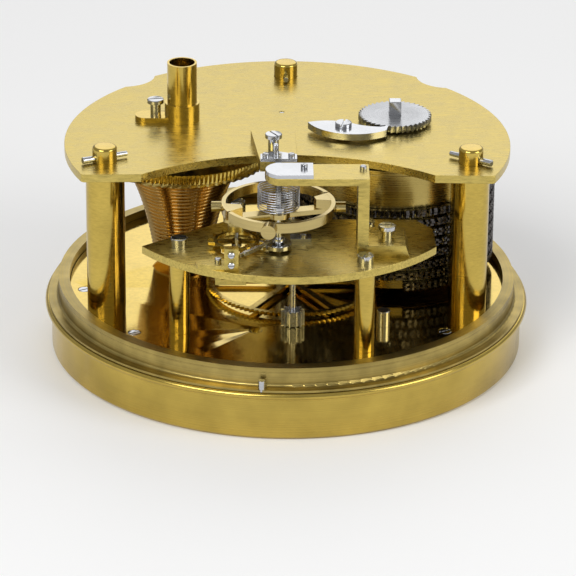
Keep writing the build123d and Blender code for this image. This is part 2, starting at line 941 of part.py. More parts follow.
with BuildPart() as small_pillars:
    with BuildSketch(Plane.XY.offset(floor_level)):
        with Locations(*small_pillar_spots):
            Circle(small_pillar_r)
    extrude(amount=small_pillar_height)
    with BuildSketch(Plane.XY.offset(lower_plate_level)):
        with Locations(*small_pillar_spots):
            Circle(plate_screw_shank_r + fit_gap)
    extrude(amount=-(plate_screw_length - lower_plate_thickness + fit_gap), mode=Mode.SUBTRACT)

# Winding tube round the winding square, with its fixing lug
with BuildPart() as winding_tube:
    with BuildSketch(level(fusee_at, top_plate_top)):
        Circle(tube_collar_r)
    extrude(amount=tube_collar_height)
    with BuildSketch(level(fusee_at, top_plate_top)):
        Circle(tube_r)
    extrude(amount=tube_top - top_plate_top)
    with BuildSketch(level(fusee_at, top_plate_top)):
        with Locations((-tube_lug_reach / 2, 0)):
            SlotOverall(tube_lug_reach, tube_lug_width)
    extrude(amount=tube_lug_thickness)
    with BuildSketch(level(fusee_at, top_plate_top)):
        Circle(tube_bore_r)
    extrude(amount=tube_top - top_plate_top, mode=Mode.SUBTRACT)
    with BuildSketch(level(lug_screw_at, top_plate_top)):
        Circle(tall_screw_shank_r + fit_gap)
    extrude(amount=tube_lug_thickness, mode=Mode.SUBTRACT)

# Fusee: a cone whose grooves hold the chain
groove_pitch = fusee_cone_height / fusee_turns
steepness = (1 / fusee_small_r - 1 / fusee_large_r) / fusee_cone_height


def fusee_radius(height):
    """Radius that keeps the pull on the train even as the mainspring weakens."""
    return 1 / (1 / fusee_small_r - steepness * height)


with BuildPart() as fusee:
    with BuildSketch(Plane((fusee_at[0], fusee_at[1], fusee_bottom), x_dir=(1, 0, 0), z_dir=(0, -1, 0))):
        with BuildLine():
            groove_line = [(fusee_arbor_r + fit_gap, 0), (fusee_radius(0), 0), (fusee_radius(0), fusee_rim)]
            for turn in range(fusee_turns):
                ridge = fusee_rim + turn * groove_pitch
                valley = ridge + groove_pitch / 2
                groove_line.append((fusee_radius(ridge + groove_pitch - fusee_rim) - groove_depth, valley))
                groove_line.append((fusee_radius(ridge + groove_pitch - fusee_rim), ridge + groove_pitch))
            rim_top = fusee_rim * 2 + fusee_cone_height
            groove_line.append((fusee_large_r, rim_top))
            groove_line.append((fusee_arbor_r + fit_gap, rim_top))
            Polyline(*groove_line, close=True)
        make_face()
    revolve(axis=Axis((fusee_at[0], fusee_at[1], 0), (0, 0, 1)))

reserve_pinion_corners = leaf_corners(reserve_pinion_teeth, reserve_module, reserve_pinion_phase)
with BuildPart() as fusee_arbor:
    with BuildSketch(level(fusee_at, middle_gear_level)):
        with BuildLine():
            Polyline(*reserve_pinion_corners, close=True)
        make_face()
    extrude(amount=gear_thickness)
    with BuildSketch(level(fusee_at, middle_gear_level)):
        Circle(fusee_bottom_pivot_r)
    extrude(amount=floor_level + pass_gap - middle_gear_level)
    with BuildSketch(level(fusee_at, floor_level + pass_gap)):
        Circle(fusee_arbor_r)
    extrude(amount=top_plate_level - pass_gap * 2 - floor_level)
    with BuildSketch(level(fusee_at, fusee_bottom - collar_height)):
        Circle(fusee_arbor_r + collar_extra)
    extrude(amount=collar_height)
    with BuildSketch(level(fusee_at, great_level + great_thickness + running_gap)):
        Circle(great_collar_r)
    extrude(amount=great_collar_height)
    with BuildSketch(level(fusee_at, top_plate_level - pass_gap)):
        Circle(fusee_top_pivot_r)
    extrude(amount=top_plate_thickness + pass_gap * 2)
    with BuildSketch(level(fusee_at, top_plate_top + pass_gap)):
        Rectangle(winding_square, winding_square)
    extrude(amount=winding_square_top - top_plate_top - pass_gap)
    chamfer(fusee_arbor.edges().group_by(Axis.Z)[-1], screw_edge * 2)

with BuildPart() as great_wheel:
    with Locations(level(fusee_at, great_level)):
        add(
            wheel(
                wheel_corners(great_teeth, great_module, great_phase),
                0,
                0,
                fusee_arbor_r + running_gap,
                great_thickness,
            )
        )

maintaining_corners = []
maintaining_step = 360 / maintaining_teeth
for tooth in range(maintaining_teeth):
    turn = tooth * maintaining_step
    maintaining_corners.append(polar((0, 0), turn, maintaining_r))
    maintaining_corners.append(
        polar((0, 0), turn + maintaining_slope * maintaining_step, maintaining_r - maintaining_depth)
    )
with BuildPart() as maintaining_ratchet:
    with Locations(level(fusee_at, maintaining_level)):
        add(wheel(maintaining_corners, 0, 0, fusee_arbor_r + running_gap, maintaining_thickness))

# Barrel, its cover, arbor and mainspring
with BuildPart() as barrel:
    with BuildSketch(level(barrel_at, barrel_bottom)):
        Circle(barrel_r)
        Circle(barrel_arbor_r + running_gap, mode=Mode.SUBTRACT)
    extrude(amount=barrel_wall)
    with BuildSketch(level(barrel_at, barrel_bottom + barrel_wall)):
        Circle(barrel_r)
        Circle(barrel_r - barrel_wall, mode=Mode.SUBTRACT)
    extrude(amount=barrel_top - barrel_bottom - barrel_wall - barrel_cover_thickness)

with BuildPart() as barrel_cover:
    with BuildSketch(level(barrel_at, barrel_top - barrel_cover_thickness)):
        Circle(barrel_r)
        Circle(barrel_arbor_r + running_gap, mode=Mode.SUBTRACT)
    extrude(amount=barrel_cover_thickness)

hub_bottom = barrel_bottom + barrel_wall + pass_gap
hub_top = barrel_top - barrel_cover_thickness - pass_gap
ratchet_level = top_plate_top + ratchet_lift
with BuildPart() as barrel_arbor:
    with BuildSketch(level(barrel_at, edge_level + pass_gap)):
        Circle(barrel_foot_pivot_r)
    extrude(amount=pillar_plate_thickness)
    with BuildSketch(level(barrel_at, floor_level + pass_gap)):
        Circle(barrel_arbor_r)
    extrude(amount=large_pillar_height - pass_gap * 2)
    with BuildSketch(level(barrel_at, hub_bottom)):
        Circle(barrel_hub_r)
    extrude(amount=hub_top - hub_bottom)
    with BuildSketch(level(barrel_at, top_plate_level - pass_gap)):
        Circle(barrel_pivot_r)
    extrude(amount=ratchet_level - top_plate_level + pass_gap)
    with BuildSketch(level(barrel_at, ratchet_level)):
        Rectangle(set_up_square, set_up_square)
    extrude(amount=set_up_square_top - ratchet_level)
    chamfer(barrel_arbor.edges().group_by(Axis.Z)[-1], screw_edge)

with BuildPart() as mainspring:
    with BuildLine() as coil_line:
        coil_r = barrel_hub_r + mainspring_thickness / 2
        start = Vector(barrel_at[0] + coil_r, barrel_at[1], (hub_bottom + hub_top) / 2)
        for half in range(mainspring_turns * 2):
            side = 1 if half % 2 == 0 else -1
            grown = coil_r + mainspring_pitch / 4
            end = start - Vector(side * grown * 2, 0, 0)
            middle = start + Vector(-side * grown, side * grown, 0)
            ThreePointArc(start, middle, end)
            start = end
            coil_r = coil_r + mainspring_pitch / 2
    with BuildSketch(Plane(coil_line.line @ 0, z_dir=coil_line.line % 0, x_dir=(1, 0, 0))):
        Rectangle(mainspring_thickness, hub_top - hub_bottom)
    sweep()

# Chain wound on the barrel, and its straight run to the fusee
chain_r = barrel_r + fit_gap + chain_thickness / 2
barrel_run_r = barrel_r + pass_gap + chain_thickness / 2
fusee_run_r = fusee_large_r + pass_gap + chain_thickness / 2
run_tilt = degrees(asin((barrel_run_r - fusee_run_r) / reach(fusee_at, barrel_at)))
run_angle = aim(fusee_at, barrel_at) + 90 + run_tilt
chain_start_angle = run_angle - chain_turns * 360
chain_start_x = (cos(radians(chain_start_angle)), sin(radians(chain_start_angle)), 0)
chain_rise = chain_pitch * chain_turns
chain_plane = Plane((barrel_at[0], barrel_at[1], chain_first_row), x_dir=chain_start_x)
with BuildPart() as chain_coils:
    with BuildLine(chain_plane) as chain_line:
        Helix(chain_pitch, chain_rise, chain_r)
    with BuildSketch(Plane(chain_line.line @ 0, z_dir=chain_line.line % 0, x_dir=chain_start_x)):
        Rectangle(chain_thickness, chain_height)
    sweep(is_frenet=True)
    with BuildSketch(level(barrel_at, barrel_bottom)):
        Circle(barrel_r + fit_gap)
    extrude(amount=barrel_top - barrel_bottom, mode=Mode.SUBTRACT)

run_start = polar(fusee_at, run_angle, fusee_run_r)
run_end = polar(barrel_at, run_angle, barrel_run_r)
run_middle = ((run_start[0] + run_end[0]) / 2, (run_start[1] + run_end[1]) / 2)
run_plane = Plane(
    (run_middle[0], run_middle[1], chain_first_row + chain_rise + chain_height / 2 + pass_gap),
    x_dir=(run_end[0] - run_start[0], run_end[1] - run_start[1], 0),
)
with BuildPart() as chain_run:
    with BuildSketch(run_plane):
        Rectangle(reach(run_start, run_end), chain_thickness)
    extrude(amount=chain_height)

# Set-up ratchet and its crescent click
ratchet_step = 360 / ratchet_teeth
nose_point = polar(barrel_at, click_nose_angle, click_nose_r)
nose_half = degrees(click_nose_width / 2 / click_nose_r)
ratchet_phase = click_nose_angle + nose_half
ratchet_corners = []
for tooth in range(ratchet_teeth):
    turn = ratchet_phase + tooth * ratchet_step
    ratchet_corners.append(polar((0, 0), turn, ratchet_r - ratchet_depth))
    ratchet_corners.append(polar((0, 0), turn + ratchet_lead, ratchet_r))
with BuildPart() as ratchet_wheel:
    with BuildSketch(level(barrel_at, ratchet_level)):
        with BuildLine():
            Polyline(*ratchet_corners, close=True)
        make_face()
        Rectangle(
            set_up_square + fit_gap * 2, set_up_square + fit_gap * 2, mode=Mode.SUBTRACT
        )
    extrude(amount=ratchet_thickness)

click_level = top_plate_top + click_lift
with BuildPart() as click:
    with BuildSketch(Plane.XY.offset(click_level)):
        with BuildLine():
            ThreePointArc(click_tip, click_back, click_waist)
            ThreePointArc(click_waist, click_bay, click_shoulder)
            Polyline(click_shoulder, nose_point, click_heel)
            ThreePointArc(click_heel, click_front, click_tip)
        make_face()
        with Locations(click_pivot):
            Circle(click_pivot_r + running_gap, mode=Mode.SUBTRACT)
    extrude(amount=click_thickness)

# Centre, third and fourth arbors with their wheels
with BuildPart() as centre_arbor:
    with BuildSketch(level(centre_at, top_gear_level)):
        with BuildLine():
            Polyline(*wheel_corners(motion_teeth, motion_module, centre_gear_phase), close=True)
        make_face()
    extrude(amount=gear_thickness)
    with BuildSketch(level(centre_at, top_gear_level)):
        Circle(centre_arbor_r)
    extrude(amount=top_plate_level - pass_gap - top_gear_level)
    with BuildSketch(level(centre_at, great_level - pass_gap)):
        with BuildLine():
            Polyline(
                *leaf_corners(centre_pinion_teeth, great_module, centre_pinion_phase), close=True
            )
        make_face()
    extrude(amount=great_thickness + pass_gap * 2)
    with BuildSketch(level(centre_at, centre_wheel_level)):
        Circle(centre_arbor_r + collar_extra)
    extrude(amount=-collar_height)
    with BuildSketch(level(centre_at, top_plate_level - pass_gap)):
        Circle(train_pivot_r)
    extrude(amount=top_plate_thickness + pass_gap / 2)

with BuildPart() as centre_wheel:
    with Locations(level(centre_at, centre_wheel_level)):
        add(
            wheel(
                wheel_corners(centre_teeth, centre_module, centre_phase),
                pitch_radius(centre_teeth, centre_module) - wheel_rim,
                train_arms,
                centre_arbor_r + fit_gap,
                wheel_thickness,
            )
        )

with BuildPart() as third_arbor:
    with BuildSketch(level(third_at, edge_level + pass_gap)):
        Circle(train_pivot_r)
    extrude(amount=pillar_plate_thickness)
    with BuildSketch(level(third_at, floor_level + pass_gap)):
        Circle(third_arbor_r)
    extrude(amount=large_pillar_height - pass_gap * 2)
    with BuildSketch(level(third_at, third_wheel_level + wheel_thickness)):
        Circle(third_arbor_r + collar_extra)
    extrude(amount=collar_height)
    with BuildSketch(level(third_at, centre_wheel_level - leaf_overlap)):
        with BuildLine():
            Polyline(
                *leaf_corners(third_pinion_teeth, centre_module, third_pinion_phase), close=True
            )
        make_face()
    extrude(amount=wheel_thickness + leaf_overlap * 2)
    with BuildSketch(level(third_at, top_plate_level - pass_gap)):
        Circle(train_pivot_r)
    extrude(amount=top_plate_thickness + pass_gap / 2)

with BuildPart() as third_wheel:
    with Locations(level(third_at, third_wheel_level)):
        add(
            wheel(
                wheel_corners(third_teeth, third_module, third_phase),
                pitch_radius(third_teeth, third_module) - wheel_rim,
                train_arms,
                third_arbor_r + fit_gap,
                wheel_thickness,
            )
        )

with BuildPart() as fourth_arbor:
    with BuildSketch(level(fourth_at, seconds_hand_level)):
        Circle(fourth_foot_r)
    extrude(amount=floor_level + leaf_overlap - seconds_hand_level)
    with BuildSketch(level(fourth_at, floor_level + leaf_overlap)):
        with BuildLine():
            Polyline(
                *leaf_corners(fourth_pinion_teeth, third_module, fourth_pinion_phase), close=True
            )
        make_face()
    extrude(amount=long_leaf_height)
    with BuildSketch(level(fourth_at, floor_level + leaf_overlap)):
        Circle(fourth_arbor_r)
    extrude(amount=small_pillar_height - leaf_overlap - pass_gap)
    with BuildSketch(level(fourth_at, fourth_wheel_level)):
        Circle(fourth_arbor_r + collar_extra)
    extrude(amount=-collar_height)
    with BuildSketch(level(fourth_at, lower_plate_level - pass_gap)):
        Circle(fourth_pivot_r)
    extrude(amount=lower_plate_thickness + pass_gap - running_gap)

with BuildPart() as fourth_wheel:
    with Locations(level(fourth_at, fourth_wheel_level)):
        add(
            wheel(
                wheel_corners(fourth_teeth, fourth_module, fourth_phase),
                pitch_radius(fourth_teeth, fourth_module) - wheel_rim,
                fourth_arms,
                fourth_arbor_r + fit_gap,
                wheel_thickness,
                hub_r=fourth_hub_r,
                arm_width=fourth_arm,
            )
        )

# Escape wheel, its arbor and its two cocks
escape_step = 360 / escape_teeth
escape_corners = []
for tooth in range(escape_teeth):
    turn = escape_to_balance_angle + (tooth + 0.5) * escape_step
    root_r = escape_r - escape_tooth_depth
    escape_corners.append(polar((0, 0), turn + escape_tooth_front, root_r))
    escape_corners.append(polar((0, 0), turn - escape_tooth_tip, escape_r))
    escape_corners.append(polar((0, 0), turn + escape_tooth_tip, escape_r))
    escape_corners.append(polar((0, 0), turn + escape_tooth_back, root_r))
with BuildPart() as escape_wheel:
    with Locations(level(escape_at, escape_level)):
        add(
            wheel(
                escape_corners,
                escape_r - escape_tooth_depth - escape_rim,
                escape_arms,
                escape_arbor_r + fit_gap,
                escape_thickness,
                hub_r=escape_hub_r,
                arm_width=escape_arm,
            )
        )

with BuildPart() as escape_arbor:
    with BuildSketch(level(escape_at, under_cock_level)):
        Circle(escape_pivot_r)
    extrude(amount=escape_cock_level + escape_cock_thickness - running_gap - under_cock_level)
    with BuildSketch(level(escape_at, under_cock_level + under_cock_wall + pass_gap / 2)):
        Circle(escape_arbor_r)
    extrude(amount=escape_cock_level - under_cock_level - under_cock_wall - pass_gap)
    with BuildSketch(level(escape_at, fourth_wheel_level - wheel_thickness / 2)):
        with BuildLine():
            Polyline(
                *leaf_corners(escape_pinion_teeth, fourth_module, escape_pinion_phase), close=True
            )
        make_face()
    extrude(amount=wheel_thickness * 2)
    with BuildSketch(level(escape_at, escape_level)):
        Circle(escape_arbor_r + collar_extra)
    extrude(amount=-collar_height)

cock_foot_at = (escape_at[0], escape_cock_foot_y)
with BuildPart() as escape_cock:
    with BuildSketch(level(cock_foot_at, lower_plate_top)):
        Rectangle(escape_cock_width, escape_cock_width)
    extrude(amount=escape_cock_level + escape_cock_thickness - lower_plate_top)
    with BuildSketch(level(escape_at, escape_cock_level)):
        arm_length = escape_cock_foot_y - escape_at[1]
        with Locations((0, arm_length / 2)):
            SlotCenterToCenter(arm_length, escape_cock_width, rotation=90)
    extrude(amount=escape_cock_thickness)
    with BuildSketch(level(escape_at, escape_cock_level)):
        Circle(escape_pivot_r + running_gap)
    extrude(amount=escape_cock_thickness, mode=Mode.SUBTRACT)
    with BuildSketch(level(cock_foot_at, lower_plate_top)):
        Circle(plate_screw_shank_r + fit_gap)
    extrude(
        amount=escape_cock_level + escape_cock_thickness - lower_plate_top, mode=Mode.SUBTRACT
    )

under_cock_profile = Plane(
    (under_cock_left_x, escape_at[1], under_cock_level), x_dir=(1, 0, 0), z_dir=(0, -1, 0)
)
with BuildPart() as escape_under_cock:
    with BuildSketch(under_cock_profile):
        with BuildLine():
            height = lower_plate_level - under_cock_level
            width = under_cock_right_x - under_cock_left_x
            Polyline(
                (0, 0),
                (width, 0),
                (width, under_cock_wall + under_cock_lip),
                (width - under_cock_lip, under_cock_wall + under_cock_lip),
                (width - under_cock_lip, under_cock_wall),
                (under_cock_wall, under_cock_wall),
                (under_cock_wall, height),
                (-under_cock_flange, height),
                (-under_cock_flange, height - under_cock_flange_height),
                (0, height - under_cock_flange_height),
                close=True,
            )
        make_face()
    extrude(amount=under_cock_depth / 2, both=True)
    with BuildSketch(level(escape_at, under_cock_level)):
        Circle(escape_pivot_r + running_gap)
    extrude(amount=under_cock_wall, mode=Mode.SUBTRACT)

# Spring detent with its locking stone, and the block that holds its foot
stone_at = polar(escape_at, locking_stone_angle, locking_stone_from_escape)
detent_angle = aim(detent_root, balance_at)
detent_length = reach(detent_root, balance_at) - discharge_roller_r - detent_tip_gap
detent_plane = Plane(
    (detent_root[0], detent_root[1], detent_level),
    x_dir=(cos(radians(detent_angle)), sin(radians(detent_angle)), 0),
)
stone_turn = radians(aim(detent_root, stone_at) - detent_angle)
stone_along = reach(detent_root, stone_at) * cos(stone_turn)
stone_aside = reach(detent_root, stone_at) * sin(stone_turn)
with BuildPart() as detent:
    with BuildSketch(detent_plane):
        Rectangle(detent_length, detent_blade, align=(Align.MIN, Align.CENTER))
        with Locations((detent_plate_start, 0)):
            Rectangle(detent_plate_length, detent_plate_width, align=(Align.MIN, Align.CENTER))
        with Locations((stone_along, 0)):
            Rectangle(detent_lug, stone_aside + detent_lug / 2, align=(Align.CENTER, Align.MIN))
    extrude(amount=detent_height)
    with BuildSketch(level(stone_at, escape_level)):
        Circle(locking_stone_r)
    extrude(amount=detent_level - escape_level)



def detent_side_planes():
    """Seats of the two screws in the front of the detent's block."""
    middle_x = (detent_block_left_x + detent_block_right_x) / 2
    planes = []
    for height in detent_side_screws:
        origin = (middle_x, detent_block_front_y, lower_plate_top + height)
        planes.append(Plane(origin, x_dir=(1, 0, 0), z_dir=(0, -1, 0)))
    return planes


with BuildPart() as detent_bracket:
    block_middle_x = (detent_block_left_x + detent_block_right_x) / 2
    block_middle_y = detent_block_front_y + detent_block_depth / 2
    with BuildSketch(level((block_middle_x, block_middle_y), lower_plate_top)):
        Rectangle(detent_block_right_x - detent_block_left_x, detent_block_depth)
    extrude(amount=detent_block_height)
    chamfer(
        detent_bracket.edges().group_by(Axis.Z)[-1].sort_by(Axis.Y)[-1:], detent_block_bevel
    )
    with BuildSketch(Plane.XY.offset(lower_plate_top)):
        with BuildLine():
            Polyline(
                (block_middle_x, block_middle_y),
                (block_middle_x, detent_foot_back_y),
                detent_foot_left,
                (detent_foot_left[0] - detent_foot_width / 2, detent_foot_left[1] - detent_foot_width),
                (detent_foot_left[0], detent_foot_left[1] - detent_foot_width * 2),
                (detent_block_left_x, detent_block_front_y),
                close=True,
            )
        make_face()
    extrude(amount=detent_foot_thickness)
    with BuildSketch(level(detent_screw_at, lower_plate_top)):
        Circle(small_screw_shank_r + fit_gap)
    extrude(amount=detent_foot_thickness, mode=Mode.SUBTRACT)
    with Locations(*detent_side_planes()):
        Hole(small_screw_shank_r + fit_gap, small_screw_length + fit_gap)

# Balance: rim, crossbar, weights, staff and spring
with BuildPart() as balance_rim:
    with BuildSketch(level(balance_at, rim_level)):
        Circle(rim_r)
        Circle(rim_r - rim_wall, mode=Mode.SUBTRACT)
        with BuildSketch(mode=Mode.PRIVATE) as cuts:
            with PolarLocations(rim_r - rim_wall / 2, 2, crossbar_angle + cut_angle):
                Rectangle(rim_wall * 3, rim_cut)
        add(cuts.sketch, mode=Mode.SUBTRACT)
    extrude(amount=rim_height)
    with BuildSketch(level(balance_at, rim_level - crossbar_thickness)):
        SlotOverall(rim_r * 2, crossbar_width, rotation=crossbar_angle)
        Circle(bar_hub_r)
        Circle(staff_r + fit_gap, mode=Mode.SUBTRACT)
    extrude(amount=crossbar_thickness)

weight_level = rim_level + rim_height / 2
seat_r = rim_r - rim_wall / 2


def outward_planes(angle):
    """Planes that look outwards from the rim, on both sides of the balance."""
    planes = []
    for turn in (angle, angle + 180):
        x, y = polar(balance_at, turn, seat_r)
        heading = (cos(radians(turn)), sin(radians(turn)), 0)
        planes.append(Plane((x, y, weight_level), z_dir=heading))
    return planes


with BuildPart() as balance_weights:
    for plane in outward_planes(weight_angle):
        with BuildSketch(plane):
            Circle(weight_r)
        extrude(amount=rim_r - seat_r + weight_length)
    for plane in outward_planes(timing_nut_angle):
        with BuildSketch(plane):
            Circle(timing_nut_r)
        extrude(amount=rim_r - seat_r + timing_nut_length)
    for turn in (wedge_angle, wedge_angle + 180):
        with BuildSketch(level(balance_at, rim_level)):
            with BuildLine():
                Polyline(
                    polar((0, 0), turn - wedge_half_span, seat_r),
                    polar((0, 0), turn - wedge_half_width * 4, rim_r - rim_wall - wedge_depth),
                    polar((0, 0), turn + wedge_half_width * 4, rim_r - rim_wall - wedge_depth),
                    polar((0, 0), turn + wedge_half_span, seat_r),
                    close=True,
                )
            make_face()
        extrude(amount=rim_height)
    with BuildSketch(level(balance_at, rim_level - rim_height)):
        Circle(rim_r)
        Circle(rim_r - rim_wall, mode=Mode.SUBTRACT)
    extrude(amount=rim_height * 3, mode=Mode.SUBTRACT)

with BuildPart() as balance_staff:
    with BuildSketch(level(balance_at, lower_plate_level + jewel_thickness / 4)):
        Circle(staff_pivot_r)
    extrude(amount=cock_arm_top - lower_plate_level - jewel_thickness / 2)
    with BuildSketch(level(balance_at, lower_plate_top + pass_gap)):
        Circle(staff_r)
    extrude(amount=cock_arm_level - lower_plate_top - pass_gap * 2)
    with BuildSketch(level(balance_at, impulse_roller_level)):
        Circle(impulse_roller_r)
        with Locations(polar((0, 0), escape_to_balance_angle + 180, impulse_roller_r)):
            Rectangle(
                roller_notch * 2, roller_notch, rotation=escape_to_balance_angle, mode=Mode.SUBTRACT
            )
    extrude(amount=impulse_roller_thickness)
    with BuildSketch(level(balance_at, discharge_roller_level)):
        Circle(discharge_roller_r)
    extrude(amount=discharge_roller_thickness)
    with BuildSketch(level(balance_at, rim_level)):
        Circle(collet_r)
    extrude(amount=collet_height)
    with BuildSketch(level(balance_at, rim_level)):
        Rectangle(
            collet_arm_width, spring_r + spring_wire, align=(Align.CENTER, Align.MIN)
        )
    extrude(amount=spring_bottom - spring_wire / 2 - running_gap - rim_level)

spring_rise = stud_level - spring_wire / 2 - spring_bottom
spring_plane = Plane((balance_at[0], balance_at[1], spring_bottom), x_dir=(0, 1, 0))
with BuildPart() as balance_spring:
    with BuildLine(spring_plane) as spring_line:
        Helix(spring_rise / spring_turns, spring_rise, spring_r)
    with BuildSketch(Plane(spring_line.line @ 0, z_dir=spring_line.line % 0, x_dir=(0, 1, 0))):
        Rectangle(spring_wire, spring_wire)
    sweep(is_frenet=True)

with BuildPart() as balance_jewels:
    for height in (lower_plate_level, cock_arm_top - jewel_thickness):
        with BuildSketch(level(balance_at, height)):
            Circle(jewel_r)
            Circle(staff_pivot_r + running_gap, mode=Mode.SUBTRACT)
        extrude(amount=jewel_thickness)

# Balance cock: foot on the lower plate, column and arm over the balance
with BuildPart() as balance_cock:
    with BuildSketch(Plane.XZ.offset(-cock_front_y)):
        with BuildLine():
            Polyline(
                (cock_column_x, lower_plate_top),
                (cock_foot_end_x, lower_plate_top),
                (cock_foot_end_x - cock_foot_taper, lower_plate_top + cock_foot_height),
                (cock_column_x, lower_plate_top + cock_foot_height),
                close=True,
            )
        make_face()
    extrude(amount=cock_front_y - cock_foot_back_y)
    with BuildSketch(Plane.XZ.offset(-cock_front_y)):
        with Locations((cock_column_x, lower_plate_top)):
            Rectangle(
                cock_column_width, cock_arm_top - lower_plate_top, align=(Align.MIN, Align.MIN)
            )
    extrude(amount=cock_front_y - cock_arm_back_y)
    cock_middle_y = (cock_front_y + cock_arm_back_y) / 2
    with BuildSketch(Plane.XY.offset(cock_arm_level)):
        with BuildLine():
            shoulder_x = cock_arm_end_x + cock_arm_round
            Polyline(
                (shoulder_x, cock_arm_back_y),
                (cock_column_x, cock_arm_back_y),
                (cock_column_x, cock_front_y),
                (shoulder_x, cock_front_y),
            )
            ThreePointArc(
                (shoulder_x, cock_front_y), (cock_arm_end_x, cock_middle_y), (shoulder_x, cock_arm_back_y)
            )
        make_face()
    extrude(amount=cock_arm_thickness)
    with BuildSketch(level(cock_screw_at, lower_plate_top)):
        Circle(tall_screw_shank_r + fit_gap)
    extrude(amount=cock_foot_height, mode=Mode.SUBTRACT)
    with BuildSketch(level(cock_arm_screw_at, cock_arm_level)):
        Circle(small_screw_shank_r + fit_gap)
    extrude(amount=cock_arm_thickness, mode=Mode.SUBTRACT)
    with BuildSketch(level(end_plate_screw_at, cock_arm_level)):
        Circle(small_screw_shank_r + fit_gap)
    extrude(amount=cock_arm_thickness, mode=Mode.SUBTRACT)
    with BuildSketch(level(balance_at, cock_arm_level)):
        Circle(staff_pivot_r + running_gap)
    extrude(amount=cock_arm_thickness, mode=Mode.SUBTRACT)
    with BuildSketch(level(balance_at, cock_arm_top)):
        Circle(jewel_r + fit_gap)
    extrude(amount=-jewel_thickness - fit_gap, mode=Mode.SUBTRACT)

with BuildPart() as end_plates:
    with BuildSketch(Plane.XY.offset(cock_arm_top)):
        with BuildLine():
            plate_front = cock_front_y + end_plate_inset
            plate_shoulder = cock_arm_end_x + cock_arm_round
            Polyline(
                (plate_shoulder, end_plate_back_y),
                (end_plate_right_x, end_plate_back_y),
                (end_plate_right_x, plate_front),
                (plate_shoulder, plate_front),
            )
            ThreePointArc(
                (plate_shoulder, plate_front),
                (cock_arm_end_x + end_plate_inset, (plate_front + end_plate_back_y) / 2),
                (plate_shoulder, end_plate_back_y),
            )
        make_face()
        with Locations(end_plate_screw_at):
            Circle(small_screw_shank_r + fit_gap, mode=Mode.SUBTRACT)
    extrude(amount=end_plate_thickness)
    with BuildSketch(level(fourth_cap_at, lower_plate_top)):
        Rectangle(fourth_cap_width, fourth_cap_depth)
    extrude(amount=fourth_cap_thickness)
    with BuildSketch(level(fourth_cap_screw_at, lower_plate_top)):
        Circle(small_screw_shank_r + fit_gap)
    extrude(amount=fourth_cap_thickness, mode=Mode.SUBTRACT)

# Stud bracket on the top plate, the clamp on its front end and the spring's stud
stud_back_y = bracket_front_y + stud_tail
stud_front_y = balance_at[1] + spring_r
clamp_middle_x = (bracket_front_left_x + bracket_front_right_x) / 2
clamp_screw_y = bracket_front_y + clamp_screw_back
clamp_screw_spots = [
    (clamp_middle_x - clamp_screw_spread, clamp_screw_y),
    (clamp_middle_x + clamp_screw_spread, clamp_screw_y),
]
with BuildPart() as stud_bracket:
    with BuildSketch(Plane.XY.offset(top_plate_top)):
        with BuildLine():
            Polyline(
                (bracket_back_left_x, bracket_back_y),
                (bracket_back_right_x, bracket_back_y),
                (bracket_front_right_x, bracket_front_y),
                (bracket_front_left_x, bracket_front_y),
                close=True,
            )
        make_face()
        with Locations(bracket_screw_at):
            Circle(tall_screw_shank_r + fit_gap, mode=Mode.SUBTRACT)
    extrude(amount=bracket_thickness)
    with BuildSketch(Plane.XY.offset(bracket_top)):
        with Locations((balance_at[0], bracket_front_y)):
            Rectangle(stud_width + fit_gap * 2, stud_tail * 2 + fit_gap * 2)
        with Locations(*clamp_screw_spots):
            Circle(small_screw_shank_r + fit_gap)
    extrude(amount=-(stud_thickness + fit_gap), mode=Mode.SUBTRACT)

with BuildPart() as spring_stud:
    with BuildSketch(level((balance_at[0], stud_back_y), stud_level)):
        Rectangle(stud_width, stud_back_y - stud_front_y, align=(Align.CENTER, Align.MAX))
    extrude(amount=stud_thickness)
    with BuildSketch(level((balance_at[0], stud_front_y), stud_level)):
        Rectangle(stud_width, stud_block_depth)
    extrude(amount=stud_block_height)

with BuildPart() as stud_clamp:
    with BuildSketch(Plane.XY.offset(bracket_top)):
        with BuildLine():
            Polyline(
                (bracket_front_left_x, bracket_front_y),
                (bracket_front_right_x, bracket_front_y),
                (bracket_front_right_x, bracket_front_y + clamp_depth),
                (clamp_stud_at[0], clamp_stud_at[1] + clamp_tab),
                (bracket_front_left_x, bracket_front_y + clamp_depth),
                close=True,
            )
        make_face()
        with Locations(*clamp_screw_spots):
            Circle(small_screw_shank_r + fit_gap, mode=Mode.SUBTRACT)
    extrude(amount=clamp_thickness)
    with BuildSketch(level(clamp_stud_at, bracket_top + clamp_thickness)):
        Circle(clamp_stud_r)
    extrude(amount=clamp_stud_height)
    fillet(stud_clamp.edges().group_by(Axis.Z)[-1], clamp_stud_r / 2)

